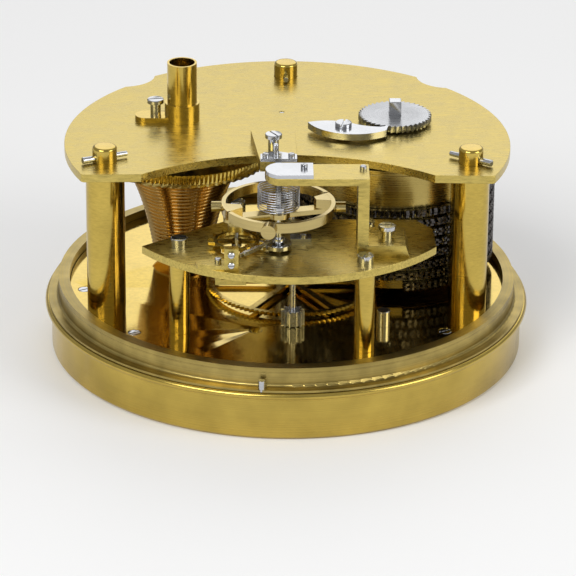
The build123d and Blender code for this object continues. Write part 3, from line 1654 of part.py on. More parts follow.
# All slotted screws of the frame
click_screw_level = click_level + click_thickness + running_gap
with BuildPart() as steel_screws:
    for number, spot in enumerate(small_pillar_spots):
        with Locations(level(spot, lower_plate_top)):
            add(plate_screw(number * 50 + 20))
    with Locations(level(cock_foot_at, escape_cock_level + escape_cock_thickness)):
        add(plate_screw(40))
    with Locations(level(lug_screw_at, top_plate_top + tube_lug_thickness)):
        add(tall_screw(lug_screw_neck, tube_lug_thickness + top_plate_thickness, 10))
    with Locations(level(cock_screw_at, lower_plate_top + cock_foot_height)):
        add(tall_screw(cock_screw_neck, cock_foot_height + lower_plate_thickness, 0))
    with Locations(level(bracket_screw_at, bracket_top)):
        add(tall_screw(bracket_screw_neck, bracket_thickness + top_plate_thickness, 120))
    with Locations(level(click_pivot, click_screw_level)):
        add(
            screw(
                tall_screw_head_r,
                tall_screw_head,
                click_pivot_r,
                click_screw_level - top_plate_level,
                80,
            )
        )
    for spot in clamp_screw_spots:
        with Locations(level(spot, bracket_top + clamp_thickness)):
            add(small_screw(30))
    with Locations(level(end_plate_screw_at, cock_arm_top + end_plate_thickness)):
        add(small_screw(60))
    with Locations(level(cock_arm_screw_at, cock_arm_top)):
        add(small_screw(0))
    with Locations(level(fourth_cap_screw_at, lower_plate_top + fourth_cap_thickness)):
        add(small_screw(45))
    with Locations(level(detent_screw_at, lower_plate_top + detent_foot_thickness)):
        add(small_screw(20))
    for plane in detent_side_planes():
        with Locations(plane):
            add(small_screw(0))

# Motion work and up/down work under the pillar plate
with BuildPart() as motion_studs:
    for spot, end in (
        (dial_centre, minute_hand_level),
        (motion_idler_at, top_gear_level - stud_end),
        (minute_wheel_at, low_gear_level - stud_end),
        (reserve_idler_at, low_gear_level - stud_end),
        (reserve_at, seconds_hand_level),
    ):
        with BuildSketch(level(spot, edge_level)):
            Circle(stud_r)
        extrude(amount=end - edge_level)


def gear_with_pipe(centre, height, corners, pipe_r, pipe_end):
    """A gear under the pillar plate whose pipe reaches down to its hand."""
    with BuildPart() as made:
        with BuildSketch(level(centre, height)):
            with BuildLine():
                Polyline(*corners, close=True)
            make_face()
        extrude(amount=gear_thickness)
        with BuildSketch(level(centre, pipe_end)):
            Circle(pipe_r)
        extrude(amount=height - pipe_end)
    return made.part


def gear_on_stud(centre, height, corners, pinion_height, pinion_corners):
    """A gear and its pinion turning together on a stud."""
    with BuildPart() as made:
        with BuildSketch(level(centre, height)):
            with BuildLine():
                Polyline(*corners, close=True)
            make_face()
        extrude(amount=gear_thickness)
        with BuildSketch(level(centre, pinion_height)):
            with BuildLine():
                Polyline(*pinion_corners, close=True)
            make_face()
        extrude(amount=height - pinion_height)
    return made.part


with BuildPart() as motion_idler:
    with Locations(level(motion_idler_at, top_gear_level)):
        add(
            wheel(
                wheel_corners(motion_teeth, motion_module, motion_idler_phase),
                0,
                0,
                stud_r + running_gap,
                gear_thickness,
            )
        )

with BuildPart() as cannon_pipe:
    add(
        gear_with_pipe(
            dial_centre,
            top_gear_level,
            wheel_corners(motion_teeth, motion_module, cannon_gear_phase),
            cannon_pipe_r,
            minute_hand_level,
        )
    )
    with BuildSketch(level(dial_centre, middle_gear_level)):
        with BuildLine():
            Polyline(*leaf_corners(cannon_teeth, minute_module, cannon_phase), close=True)
        make_face()
    extrude(amount=top_gear_level - middle_gear_level)
    with BuildSketch(level(dial_centre, minute_hand_level)):
        Circle(stud_r + running_gap)
    extrude(amount=edge_level - minute_hand_level, mode=Mode.SUBTRACT)

with BuildPart() as minute_wheel:
    add(
        gear_on_stud(
            minute_wheel_at,
            middle_gear_level,
            wheel_corners(minute_teeth, minute_module, minute_phase),
            low_gear_level,
            leaf_corners(minute_pinion_teeth, hour_module, minute_pinion_phase),
        )
    )
    with BuildSketch(level(minute_wheel_at, low_gear_level)):
        Circle(stud_r + running_gap)
    extrude(amount=edge_level - low_gear_level, mode=Mode.SUBTRACT)

with BuildPart() as hour_wheel:
    add(
        gear_with_pipe(
            dial_centre,
            low_gear_level,
            wheel_corners(hour_teeth, hour_module, hour_phase),
            hour_pipe_r,
            hour_hand_level,
        )
    )
    with BuildSketch(level(dial_centre, hour_hand_level)):
        Circle(cannon_pipe_r + running_gap)
    extrude(amount=edge_level - hour_hand_level, mode=Mode.SUBTRACT)

with BuildPart() as reserve_idler:
    add(
        gear_on_stud(
            reserve_idler_at,
            middle_gear_level,
            wheel_corners(reserve_idler_teeth, reserve_module, reserve_idler_phase),
            low_gear_level,
            leaf_corners(
                reserve_idler_pinion_teeth, reserve_wheel_module, reserve_idler_pinion_phase
            ),
        )
    )
    with BuildSketch(level(reserve_idler_at, low_gear_level)):
        Circle(stud_r + running_gap)
    extrude(amount=edge_level - low_gear_level, mode=Mode.SUBTRACT)

with BuildPart() as reserve_wheel:
    add(
        gear_with_pipe(
            reserve_at,
            low_gear_level,
            wheel_corners(reserve_teeth, reserve_wheel_module, reserve_phase),
            reserve_pipe_r,
            seconds_hand_level,
        )
    )
    with BuildSketch(level(reserve_at, seconds_hand_level)):
        Circle(stud_r + running_gap)
    extrude(amount=edge_level - seconds_hand_level, mode=Mode.SUBTRACT)

# Dial with its feet, and the four hands
with BuildPart() as dial:
    with BuildSketch(Plane.XY.offset(dial_level)):
        Circle(dial_r)
        with Locations(dial_centre):
            Circle(hour_pipe_r + pass_gap, mode=Mode.SUBTRACT)
        with Locations(fourth_at, reserve_at):
            Circle(reserve_pipe_r + pass_gap, mode=Mode.SUBTRACT)
    extrude(amount=dial_thickness)
    with BuildSketch(Plane.XY.offset(dial_level + dial_thickness)):
        with Locations(*dial_foot_spots):
            Circle(dial_foot_r)
    extrude(amount=edge_level + dial_foot_grip - dial_level - dial_thickness)

with BuildPart() as minute_hand:
    with Locations(level(dial_centre, minute_hand_level)):
        add(
            hand(
                hand_hub_r,
                cannon_pipe_r + fit_gap,
                minute_hand_length,
                hand_width,
                hand_tip_width,
                hand_tail,
            )
        )

with BuildPart() as hour_hand:
    with Locations(level(dial_centre, hour_hand_level)):
        add(
            hand(
                hand_hub_r,
                hour_pipe_r + fit_gap,
                hour_hand_length,
                hand_width,
                hand_tip_width,
                hand_tail,
            )
        )

with BuildPart() as seconds_hand:
    with Locations(level(fourth_at, seconds_hand_level)):
        add(
            hand(
                small_hand_hub_r,
                fourth_foot_r + fit_gap,
                seconds_hand_length,
                small_hand_width,
                small_hand_tip_width,
                small_hand_tail,
            )
        )

with BuildPart() as reserve_hand:
    with Locations(level(reserve_at, seconds_hand_level)):
        add(
            hand(
                small_hand_hub_r,
                reserve_pipe_r + fit_gap,
                reserve_hand_length,
                small_hand_width,
                small_hand_tip_width,
                small_hand_tail,
            )
        )

# Every piece is named and written to its own file
pieces = {
    "bezel": bezel,
    "bezel_glass": bezel_glass,
    "brass_edge": brass_edge,
    "pillar_plate": pillar_plate,
    "edge_screws": edge_screws,
    "stop_post": stop_post,
    "large_pillars": large_pillars,
    "frame_pins": frame_pins,
    "top_plate": top_plate,
    "lower_plate": lower_plate,
    "small_pillars": small_pillars,
    "winding_tube": winding_tube,
    "fusee": fusee,
    "fusee_arbor": fusee_arbor,
    "great_wheel": great_wheel,
    "maintaining_ratchet": maintaining_ratchet,
    "barrel": barrel,
    "barrel_cover": barrel_cover,
    "barrel_arbor": barrel_arbor,
    "mainspring": mainspring,
    "chain_coils": chain_coils,
    "chain_run": chain_run,
    "ratchet_wheel": ratchet_wheel,
    "click": click,
    "centre_arbor": centre_arbor,
    "centre_wheel": centre_wheel,
    "third_arbor": third_arbor,
    "third_wheel": third_wheel,
    "fourth_arbor": fourth_arbor,
    "fourth_wheel": fourth_wheel,
    "escape_arbor": escape_arbor,
    "escape_wheel": escape_wheel,
    "escape_cock": escape_cock,
    "escape_under_cock": escape_under_cock,
    "detent": detent,
    "detent_bracket": detent_bracket,
    "balance_rim": balance_rim,
    "balance_weights": balance_weights,
    "balance_staff": balance_staff,
    "balance_spring": balance_spring,
    "balance_jewels": balance_jewels,
    "balance_cock": balance_cock,
    "end_plates": end_plates,
    "stud_bracket": stud_bracket,
    "stud_clamp": stud_clamp,
    "spring_stud": spring_stud,
    "steel_screws": steel_screws,
    "motion_studs": motion_studs,
    "motion_idler": motion_idler,
    "cannon_pipe": cannon_pipe,
    "minute_wheel": minute_wheel,
    "hour_wheel": hour_wheel,
    "reserve_idler": reserve_idler,
    "reserve_wheel": reserve_wheel,
    "dial": dial,
    "minute_hand": minute_hand,
    "hour_hand": hour_hand,
    "seconds_hand": seconds_hand,
    "reserve_hand": reserve_hand,
}
for name, piece in pieces.items():
    piece.part.label = name
    export_step(piece.part, f"parts/{name}.step")
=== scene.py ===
"""Looks of the chronometer movement: finishes, chain, grooves, spring, dial and stage."""
import json
import math

import bmesh
import bpy
from mathutils import Matrix, Vector


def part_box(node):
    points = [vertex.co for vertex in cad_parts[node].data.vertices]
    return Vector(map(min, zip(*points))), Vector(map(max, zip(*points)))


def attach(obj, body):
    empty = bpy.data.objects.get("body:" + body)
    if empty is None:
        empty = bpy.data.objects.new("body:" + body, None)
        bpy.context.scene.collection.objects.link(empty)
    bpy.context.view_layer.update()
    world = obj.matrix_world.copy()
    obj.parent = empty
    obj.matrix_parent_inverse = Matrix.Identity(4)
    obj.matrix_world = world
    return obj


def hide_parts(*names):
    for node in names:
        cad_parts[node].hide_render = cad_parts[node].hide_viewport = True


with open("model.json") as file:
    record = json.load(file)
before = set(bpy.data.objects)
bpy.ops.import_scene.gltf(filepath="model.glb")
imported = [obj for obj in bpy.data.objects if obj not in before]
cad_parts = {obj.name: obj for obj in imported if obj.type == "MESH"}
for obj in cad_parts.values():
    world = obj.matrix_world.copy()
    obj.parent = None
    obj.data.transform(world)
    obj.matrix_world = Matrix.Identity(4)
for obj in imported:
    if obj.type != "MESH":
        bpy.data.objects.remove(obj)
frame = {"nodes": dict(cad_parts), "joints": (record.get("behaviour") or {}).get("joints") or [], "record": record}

bl_info = {
    "name": "Chronometer movement looks",
    "version": (1, 0, 0),
    "blender": (4, 5, 0),
    "location": "View3D > Sidebar > Movement",
    "description": "Finishes the packed chronometer movement and sets its stage",
    "category": "Object",
}

MM = 0.001
SMOOTH_CREASE = math.radians(32)
TOOTH_CREASE = math.radians(14)
GROOVE_CREASE = math.radians(40)
WIRE_CREASE = math.radians(50)
FLAT_LIMIT = math.radians(0.3)
MERGE_GAP = MM / 1000

# Chain
PLATE_END_STEPS = 6
WAIST_SHARE = 0.33
RIVET_STEPS = 8
RIVET_CROWN = 0.45
RIVET_SHOULDER = 0.93
RIVET_SHARE = 0.2
RIVET_PROUD = 1.04
LAYER_SHARE = 1 / 3.2
INNER_SHARE = 0.9
COIL_TURNS = 7.5
COIL_STEPS = 120
COIL_END = 0.95 * MM
COIL_CLEARANCE = 0.03 * MM

# Fusee
FUSEE_BORE = 3.03 * MM
FUSEE_RIM = 0.4 * MM
FUSEE_STEPS = 96
GROOVE_SAMPLES = 8
GROOVE_SHARPNESS = 1.6

# Dial
NUMERALS = ("XII", "I", "II", "III", "IIII", "V", "VI", "VII", "VIII", "IX", "X", "XI")
NUMERAL_CIRCLE = 40.5 * MM
NUMERAL_SIZE = 9.0 * MM
MINUTE_RING = (47.4 * MM, 50.4 * MM)
SMALL_RING = (11.2 * MM, 12.4 * MM)
SECOND_CIRCLE = 9.2 * MM
SECOND_SIZE = 2.6 * MM
MARK_PROUD = 0.02 * MM
STRONG_MARK = 0.22 * MM
FINE_MARK = 0.09 * MM
STRONG_MARK_REACH = 0.8 * MM
NODES = frame["nodes"]
NODE_BODY = {
    node: body
    for body, members in frame["record"]["behaviour"]["bodies"].items()
    for node in members
}
JOINT_AT = {
    joint["name"]: Vector(joint["pos_m"]) for joint in frame["joints"] if "pos_m" in joint
}
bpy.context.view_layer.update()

FUSEE_AT = JOINT_AT["fusee_winding"]
BARREL_AT = JOINT_AT["barrel_turn"]
BALANCE_AT = JOINT_AT["balance_swing"]
SECONDS_AT = JOINT_AT["seconds_turn"]
RESERVE_AT = JOINT_AT["reserve_turn"]
MIDDLE = Vector((0, 0, 0))


def low(node):
    """Lowest corner of a node of the frame."""
    return Vector(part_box(node)[0])


def high(node):
    """Highest corner of a node of the frame."""
    return Vector(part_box(node)[1])


def polar(centre, angle, radius, height=0.0):
    """A point at an angle in radians and a radius round a centre."""
    return Vector(
        (centre.x + radius * math.cos(angle), centre.y + radius * math.sin(angle), height)
    )


# Meshes


def place(name, mesh, body, *replaced):
    """Puts a mesh that has its finishes on its body, in place of its nodes."""
    piece = linked(name, mesh)
    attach(piece, body)
    if replaced:
        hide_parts(*replaced)


def place_mesh(name, mesh, body, material, *replaced):
    """Gives a mesh one finish and places it."""
    mesh.materials.clear()
    mesh.materials.append(material)
    place(name, mesh, body, *replaced)


def linked(name, data):
    """A new object in the scene."""
    made = bpy.data.objects.new(name, data)
    bpy.context.scene.collection.objects.link(made)
    return made


def mesh_from(name, build):
    """A mesh made by a function that fills a bmesh, with its faces turned outwards."""
    work = bmesh.new()
    build(work)
    bmesh.ops.remove_doubles(work, verts=work.verts, dist=MERGE_GAP)
    bmesh.ops.recalc_face_normals(work, faces=work.faces)
    mesh = bpy.data.meshes.new(name)
    work.to_mesh(mesh)
    work.free()
    return mesh


def smooth(mesh, angle):
    """Smooth faces, with edges sharper than the angle kept crisp."""
    mesh.polygons.foreach_set("use_smooth", [True] * len(mesh.polygons))
    mesh.set_sharp_from_angle(angle=angle)


def baked(piece):
    """The piece's evaluated shape as a plain mesh."""
    bpy.context.view_layer.update()
    depsgraph = bpy.context.evaluated_depsgraph_get()
    return bpy.data.meshes.new_from_object(piece.evaluated_get(depsgraph), depsgraph=depsgraph)


def dress(node, material, edge, crease=SMOOTH_CREASE):
    """A copy of a node with merged faces, soft edges and a finish, in the node's place."""
    def build(work):
        work.from_mesh(NODES[node].data)
        bmesh.ops.remove_doubles(work, verts=work.verts, dist=MERGE_GAP)
        bmesh.ops.dissolve_limit(
            work, angle_limit=FLAT_LIMIT, verts=work.verts, edges=work.edges
        )

    mesh = mesh_from(node + "_rough", build)
    smooth(mesh, crease)
    if edge:
        draft = linked(node + "_draft", mesh)
        bevel = draft.modifiers.new("Soft edges", "BEVEL")
        bevel.width = edge
        bevel.segments = 2
        bevel.limit_method = "ANGLE"
        bevel.angle_limit = SMOOTH_CREASE
        bevel.harden_normals = True
        mesh = baked(draft)
        bpy.data.objects.remove(draft)
    mesh.name = node + "_finish"
    place_mesh(node + "_finish", mesh, NODE_BODY[node], material, node)


def dress_all(nodes, material, edge, crease=SMOOTH_CREASE):
    """Dresses several nodes with one finish."""
    for node in nodes:
        dress(node, material, edge, crease)


# Materials


class Finish:
    """Builds one node material step by step."""

    def __init__(self, name):
        self.material = bpy.data.materials.new(name)
        self.material.use_nodes = True
        self.nodes = self.material.node_tree.nodes
        self.links = self.material.node_tree.links
        self.shader = self.nodes["Principled BSDF"]
        self.place = self.nodes.new("ShaderNodeTexCoord").outputs["Object"]

    def node(self, kind, inputs=None, **settings):
        """A node with its settings, its values and its links."""
        made = self.nodes.new(kind)
        for key, value in settings.items():
            setattr(made, key, value)
        for key, value in (inputs or {}).items():
            if isinstance(value, bpy.types.NodeSocket):
                self.links.new(value, made.inputs[key])
            else:
                made.inputs[key].default_value = value
        return made

    def scaled(self, scale, source=None, location=(0, 0, 0)):
        """Coordinates stretched by a scale for each axis."""
        inputs = {"Vector": source or self.place, "Scale": scale, "Location": location}
        return self.node("ShaderNodeMapping", inputs).outputs[0]

    def noise(self, vector, scale=1.0, detail=3.0, roughness=0.55):
        """Value of a noise pattern."""
        inputs = {"Vector": vector, "Scale": scale, "Detail": detail, "Roughness": roughness}
        return self.node("ShaderNodeTexNoise", inputs).outputs["Fac"]

    def turned(self, centre):
        """Coordinates that follow a lathe's marks: radius, nothing and height."""
        moved = self.node(
            "ShaderNodeVectorMath", {0: self.place, 1: (centre.x, centre.y, 0)}, operation="SUBTRACT"
        ).outputs[0]
        parts = self.node("ShaderNodeSeparateXYZ", {0: moved}).outputs
        flat = self.node("ShaderNodeCombineXYZ", {0: parts[0], 1: parts[1]}).outputs[0]
        radius = self.node("ShaderNodeVectorMath", {0: flat}, operation="LENGTH").outputs["Value"]
        return self.node("ShaderNodeCombineXYZ", {0: radius, 2: parts[2]}).outputs[0]

    def between(self, value, start, end, low_value=0.3, high_value=0.7):
        """A value spread over a new range."""
        inputs = {
            "Value": value,
            "From Min": low_value,
            "From Max": high_value,
            "To Min": start,
            "To Max": end,
        }
        return self.node("ShaderNodeMapRange", inputs).outputs[0]

    def colour(self, value, dark, light):
        """Base colour between two colours, led by a value."""
        mix = self.node("ShaderNodeMix", data_type="RGBA")
        self.links.new(value, mix.inputs[0])
        mix.inputs[6].default_value = (*dark, 1)
        mix.inputs[7].default_value = (*light, 1)
        self.links.new(mix.outputs[2], self.shader.inputs["Base Color"])
        return mix.outputs[2]

    def bump(self, height, strength, distance):
        """Relief on the surface."""
        inputs = {"Height": height, "Strength": strength, "Distance": distance}
        made = self.node("ShaderNodeBump", inputs)
        self.links.new(made.outputs[0], self.shader.inputs["Normal"])

    def rough(self, value):
        """Roughness from a value."""
        self.links.new(value, self.shader.inputs["Roughness"])


def metal(name, dark, light, roughness, marks, stretch, strength=0.25, centre=None, stain=90.0):
    """A worked metal: stain in its colour, fine marks the way it was cut or brushed."""
    finish = Finish(name)
    finish.shader.inputs["Metallic"].default_value = 1.0
    source = finish.turned(centre) if centre is not None else finish.place
    fine = finish.noise(finish.scaled(stretch, source), detail=4.0)
    cloud = finish.noise(finish.place, scale=stain, detail=5.0)
    blend = finish.node(
        "ShaderNodeMath", {0: fine, 1: cloud}, operation="ADD"
    ).outputs[0]
    finish.colour(finish.between(blend, 0.0, 1.0, 0.7, 1.3), dark, light)
    finish.rough(finish.between(fine, roughness - marks, roughness + marks))
    finish.bump(fine, strength, 0.02 * MM)
    return finish.material


def scratched(name, dark, light, roughness):
    """Plate brass with fine scratches in several directions, as a worn plate has."""
    finish = Finish(name)
    finish.shader.inputs["Metallic"].default_value = 1.0
    total = finish.noise(finish.place, scale=260.0, detail=8.0, roughness=0.7)
    for angle in (0.5, 1.4, 2.5):
        turned = finish.node("ShaderNodeMapping", {
            "Vector": finish.place, "Rotation": (0, 0, angle), "Scale": (380, 3600, 1800),
        }).outputs[0]
        layer = finish.noise(turned, detail=3.0)
        total = finish.node("ShaderNodeMath", {0: total, 1: layer}, operation="ADD").outputs[0]
    finish.colour(finish.between(total, 0.0, 1.0, 1.6, 2.4), dark, light)
    finish.rough(finish.between(total, roughness - 0.07, roughness + 0.09, 1.7, 2.3))
    finish.bump(total, 0.1, 0.015 * MM)
    return finish.material


class Finishes:
    """The finishes of the movement, each made when it is first used."""

    def __init__(self):
        self.made = {}

    def get(self, name):
        """The finish of that name."""
        if name not in self.made:
            self.made[name] = getattr(self, "make_" + name)()
        return self.made[name]

    def colour(self, name):
        """A colour from the looks, without its alpha."""
        return tuple(getattr(bpy.context.scene.movement_looks, name))

    def shades(self, name, depth=0.72):
        """A darker and the plain tone of a colour of the looks."""
        colour = self.colour(name)
        return tuple(part * depth for part in colour), colour

    def make_plate(self):
        return scratched("plate_brass", *self.shades("plate_colour", 0.58), 0.29)

    def make_mirror_plate(self):
        dark, light = self.shades("brass_colour", 0.8)
        return metal("mirror_brass", dark, light, 0.1, 0.04, (900, 900, 900), 0.06)

    def make_polished(self):
        dark, light = self.shades("brass_colour")
        return metal("polished_brass", dark, light, 0.16, 0.06, (700, 700, 2600), 0.12)

    def make_turned(self):
        dark, light = self.shades("brass_colour", 0.66)
        return metal(
            "turned_brass", dark, light, 0.22, 0.08, (5200, 1, 5200), 0.3, centre=MIDDLE
        )

    def make_ledge(self):
        dark, light = self.shades("ledge_colour", 0.5)
        return metal(
            "darkened_brass", dark, light, 0.34, 0.1, (3000, 1, 3000), 0.3, MIDDLE, stain=160.0
        )

    def make_barrel(self):
        dark, light = self.shades("ledge_colour", 0.7)
        return metal("barrel_brass", dark, light, 0.26, 0.08, (4000, 1, 4000), 0.25, BARREL_AT)

    def make_fusee(self):
        dark, light = self.shades("fusee_colour", 0.7)
        return metal("fusee_brass", dark, light, 0.2, 0.06, (6000, 1, 6000), 0.2, FUSEE_AT)

    def make_balance(self):
        dark, light = self.shades("balance_colour", 0.75)
        return metal(
            "balance_brass", dark, light, 0.2, 0.06, (3500, 1, 3500), 0.15, BALANCE_AT
        )

    def make_steel(self):
        dark, light = self.shades("steel_colour", 0.8)
        return metal("bright_steel", dark, light, 0.17, 0.06, (1500, 1500, 4000), 0.12)

    def make_leaves(self):
        dark, light = self.shades("steel_colour", 0.6)
        return metal("pinion_steel", dark, light, 0.3, 0.08, (1500, 1500, 900), 0.15)

    def make_spring(self):
        dark, light = self.shades("spring_colour", 0.7)
        return metal("spring_steel", dark, light, 0.22, 0.05, (1500, 1500, 1500), 0.05)

    def make_ratchet(self):
        dark, light = self.shades("steel_colour", 0.5)
        return metal("turned_steel", dark, light, 0.28, 0.08, (7000, 1, 900), 0.35, BARREL_AT)

    def make_chain(self):
        dark, light = self.shades("chain_colour", 0.45)
        return metal("chain_steel", dark, light, 0.27, 0.1, (2500, 2500, 2500), 0.2, stain=800.0)

    def make_rivet(self):
        dark, light = self.shades("steel_colour", 0.85)
        return metal("rivet_steel", dark, light, 0.14, 0.05, (3000, 3000, 3000), 0.1)

    def make_blue(self):
        dark, light = self.shades("blue_colour", 0.55)
        return metal("blued_steel", dark, light, 0.2, 0.06, (1800, 1800, 1800), 0.08, stain=220.0)

    def make_silver(self):
        dark, light = self.shades("dial_colour", 0.9)
        return metal("silvered_dial", dark, light, 0.42, 0.06, (9000, 9000, 9000), 0.2)

    def make_ink(self):
        finish = Finish("dial_ink")
        cloud = finish.noise(finish.place, scale=900.0)
        finish.colour(cloud, (0.012, 0.012, 0.014), (0.035, 0.035, 0.04))
        finish.rough(finish.between(cloud, 0.35, 0.5))
        return finish.material

    def make_glass(self):
        finish = Finish("clear_glass")
        finish.shader.inputs["Transmission Weight"].default_value = 1.0
        finish.shader.inputs["IOR"].default_value = 1.5
        cloud = finish.noise(finish.place, scale=60.0)
        finish.colour(cloud, (0.96, 0.98, 0.97), (1.0, 1.0, 1.0))
        finish.rough(finish.between(cloud, 0.0, 0.02))
        return finish.material

    def make_ruby(self):
        finish = Finish("ruby")
        finish.shader.inputs["Transmission Weight"].default_value = 0.5
        finish.shader.inputs["IOR"].default_value = 1.76
        cloud = finish.noise(finish.place, scale=1500.0)
        finish.colour(cloud, (0.45, 0.01, 0.05), (0.8, 0.04, 0.14))
        finish.rough(finish.between(cloud, 0.05, 0.12))
        return finish.material


FINISH = Finishes()


# Curves and repeated pieces


def curve_object(name, points, cyclic=False):
    """A poly curve through points worked out by a rule."""
    curve = bpy.data.curves.new(name, "CURVE")
    curve.dimensions = "3D"
    spline = curve.splines.new("POLY")
    spline.points.add(len(points) - 1)
    for spot, point in zip(spline.points, points):
        spot.co = (*point, 1)
    spline.use_cyclic_u = cyclic
    return linked(name, curve)


def helix_points(centre, radius, start_angle, bottom, top, turns, steps):
    """Points of a helix from its lower to its upper end."""
    points = []
    count = int(turns * steps)
    for number in range(count + 1):
        share = number / count
        angle = start_angle + share * turns * math.tau
        points.append(polar(centre, angle, radius, bottom + share * (top - bottom)))
    return points


def figure_eight(work, length, width, thickness, height):
    """One chain plate with two round ends and a waist, flat on its middle height."""
    ring = []
    for side in (1, -1):
        for number in range(PLATE_END_STEPS + 1):
            angle = side * math.pi / 2 - math.pi * number / PLATE_END_STEPS
            x = side * length / 2 + math.cos(angle) * width / 2
            ring.append((x, math.sin(angle) * width / 2))
        ring.append((0.0, -side * width * WAIST_SHARE))
    lower = [work.verts.new((x, y, height - thickness / 2)) for x, y in ring]
    upper = [work.verts.new((x, y, height + thickness / 2)) for x, y in ring]
    work.faces.new(upper)
    work.faces.new(list(reversed(lower)))
    for number in range(len(ring)):
        after = (number + 1) % len(ring)
        work.faces.new((lower[number], lower[after], upper[after], upper[number]))


def skin(work, rings):
    """Faces between each ring of points and the next."""
    for lower, upper in zip(rings, rings[1:]):
        for number in range(len(lower)):
            after = (number + 1) % len(lower)
            work.faces.new((lower[number], lower[after], upper[after], upper[number]))


def rivet(work, x, radius, height):
    """A rivet with a low domed head at each end."""
    rings = []
    levels = ((-1.0, RIVET_CROWN), (-RIVET_SHOULDER, 1.0), (RIVET_SHOULDER, 1.0), (1.0, RIVET_CROWN))
    for share, reach in levels:
        rings.append([
            work.verts.new((
                x + radius * reach * math.cos(math.tau * number / RIVET_STEPS),
                radius * reach * math.sin(math.tau * number / RIVET_STEPS),
                share * height / 2,
            ))
            for number in range(RIVET_STEPS)
        ])
    work.faces.new(rings[-1])
    work.faces.new(list(reversed(rings[0])))
    skin(work, rings)


def repeat_tree(name, material):
    """A tree that sets copies of a piece along a path and gives them a finish."""
    tree = bpy.data.node_groups.new(name, "GeometryNodeTree")
    face = tree.interface
    face.new_socket("Geometry", in_out="INPUT", socket_type="NodeSocketGeometry")
    face.new_socket("Piece", in_out="INPUT", socket_type="NodeSocketObject")
    face.new_socket("Spacing", in_out="INPUT", socket_type="NodeSocketFloat")
    face.new_socket("Start", in_out="INPUT", socket_type="NodeSocketFloat")
    face.new_socket("Geometry", in_out="OUTPUT", socket_type="NodeSocketGeometry")
    new, link = tree.nodes.new, tree.links.new
    given = new("NodeGroupInput")
    result = new("NodeGroupOutput")
    trim = new("GeometryNodeTrimCurve")
    trim.mode = "LENGTH"
    length = new("GeometryNodeCurveLength")
    sample = new("GeometryNodeResampleCurve")
    sample.mode = "LENGTH"
    tangent = new("GeometryNodeInputTangent")
    align = new("FunctionNodeAlignEulerToVector")
    align.axis = "X"
    align.pivot_axis = "Z"
    pattern = new("GeometryNodeObjectInfo")
    instances = new("GeometryNodeInstanceOnPoints")
    real = new("GeometryNodeRealizeInstances")
    paint = new("GeometryNodeSetMaterial")
    paint.inputs["Material"].default_value = material
    link(given.outputs["Geometry"], length.inputs["Curve"])
    link(given.outputs["Geometry"], trim.inputs["Curve"])
    link(given.outputs["Start"], trim.inputs[4])
    link(length.outputs[0], trim.inputs[5])
    link(trim.outputs[0], sample.inputs["Curve"])
    link(given.outputs["Spacing"], sample.inputs["Length"])
    link(tangent.outputs[0], align.inputs["Vector"])
    link(given.outputs["Piece"], pattern.inputs["Object"])
    link(sample.outputs[0], instances.inputs["Points"])
    link(pattern.outputs["Geometry"], instances.inputs["Instance"])
    link(align.outputs[0], instances.inputs["Rotation"])
    link(instances.outputs[0], real.inputs[0])
    link(real.outputs[0], paint.inputs["Geometry"])
    link(paint.outputs[0], result.inputs["Geometry"])
    return tree


def repeated(name, path, piece, spacing, start, material):
    """A plain mesh of copies of a piece along a path."""
    tree = repeat_tree(name + "_tree", material)
    modifier = path.modifiers.new(name, "NODES")
    modifier.node_group = tree
    values = {"Piece": piece, "Spacing": spacing, "Start": start}
    for item in tree.interface.items_tree:
        if item.in_out == "INPUT" and item.name in values:
            modifier[item.identifier] = values[item.name]
    mesh = baked(path)
    path.modifiers.remove(modifier)
    return mesh


def joined(name, meshes, finishes):
    """One mesh from several, each with its own finish."""
    work = bmesh.new()
    for number, mesh in enumerate(meshes):
        start = len(work.faces)
        work.from_mesh(mesh)
        work.faces.ensure_lookup_table()
        for face in work.faces[start:]:
            face.material_index = number
    made = bpy.data.meshes.new(name)
    work.to_mesh(made)
    work.free()
    for finish in finishes:
        made.materials.append(finish)
    return made


def chain_along(name, points, looks, body, *replaced):
    """Chain plates in turn outer and inner, and their rivets, along a path."""
    path = curve_object(name + "_path", points)
    link_length = looks.link_length
    plate = looks.chain_height * LAYER_SHARE

    def outer(work):
        for side in (-1, 1):
            figure_eight(
                work, link_length, looks.chain_width, plate, side * (looks.chain_height - plate) / 2
            )

    def inner(work):
        figure_eight(work, link_length, looks.chain_width * INNER_SHARE, plate, 0.0)

    def pins(work):
        for side in (-1, 1):
            radius = looks.chain_width * RIVET_SHARE
            rivet(work, side * link_length / 2, radius, looks.chain_height * RIVET_PROUD)

    meshes = []
    rows = (
        ("outer", outer, 0.0, FINISH.get("chain")),
        ("inner", inner, link_length, FINISH.get("chain")),
        ("pins", pins, 0.0, FINISH.get("rivet")),
    )
    for label, build, start, material in rows:
        pattern = linked(label + "_pattern", mesh_from(label, build))
        meshes.append(
            repeated(name + "_" + label, path, pattern, link_length * 2, start, material)
        )
        bpy.data.objects.remove(pattern)
    bpy.data.objects.remove(path)
    finishes = [row[3] for row in rows]
    place(name, joined(name, meshes, finishes), body, *replaced)


def chain_run_ends():
    """The two ends of the chain's straight run, from its box."""
    bottom, top = low("chain_run"), high("chain_run")
    height = (bottom.z + top.z) / 2
    mesh = NODES["chain_run"].data
    left = [v.co for v in mesh.vertices if v.co.x < bottom.x + 2 * MM]
    right = [v.co for v in mesh.vertices if v.co.x > top.x - 2 * MM]
    ends = []
    for group in (left, right):
        middle = sum((Vector(co) for co in group), Vector()) / len(group)
        ends.append(Vector((middle.x, middle.y, height)))
    return ends


# Properties


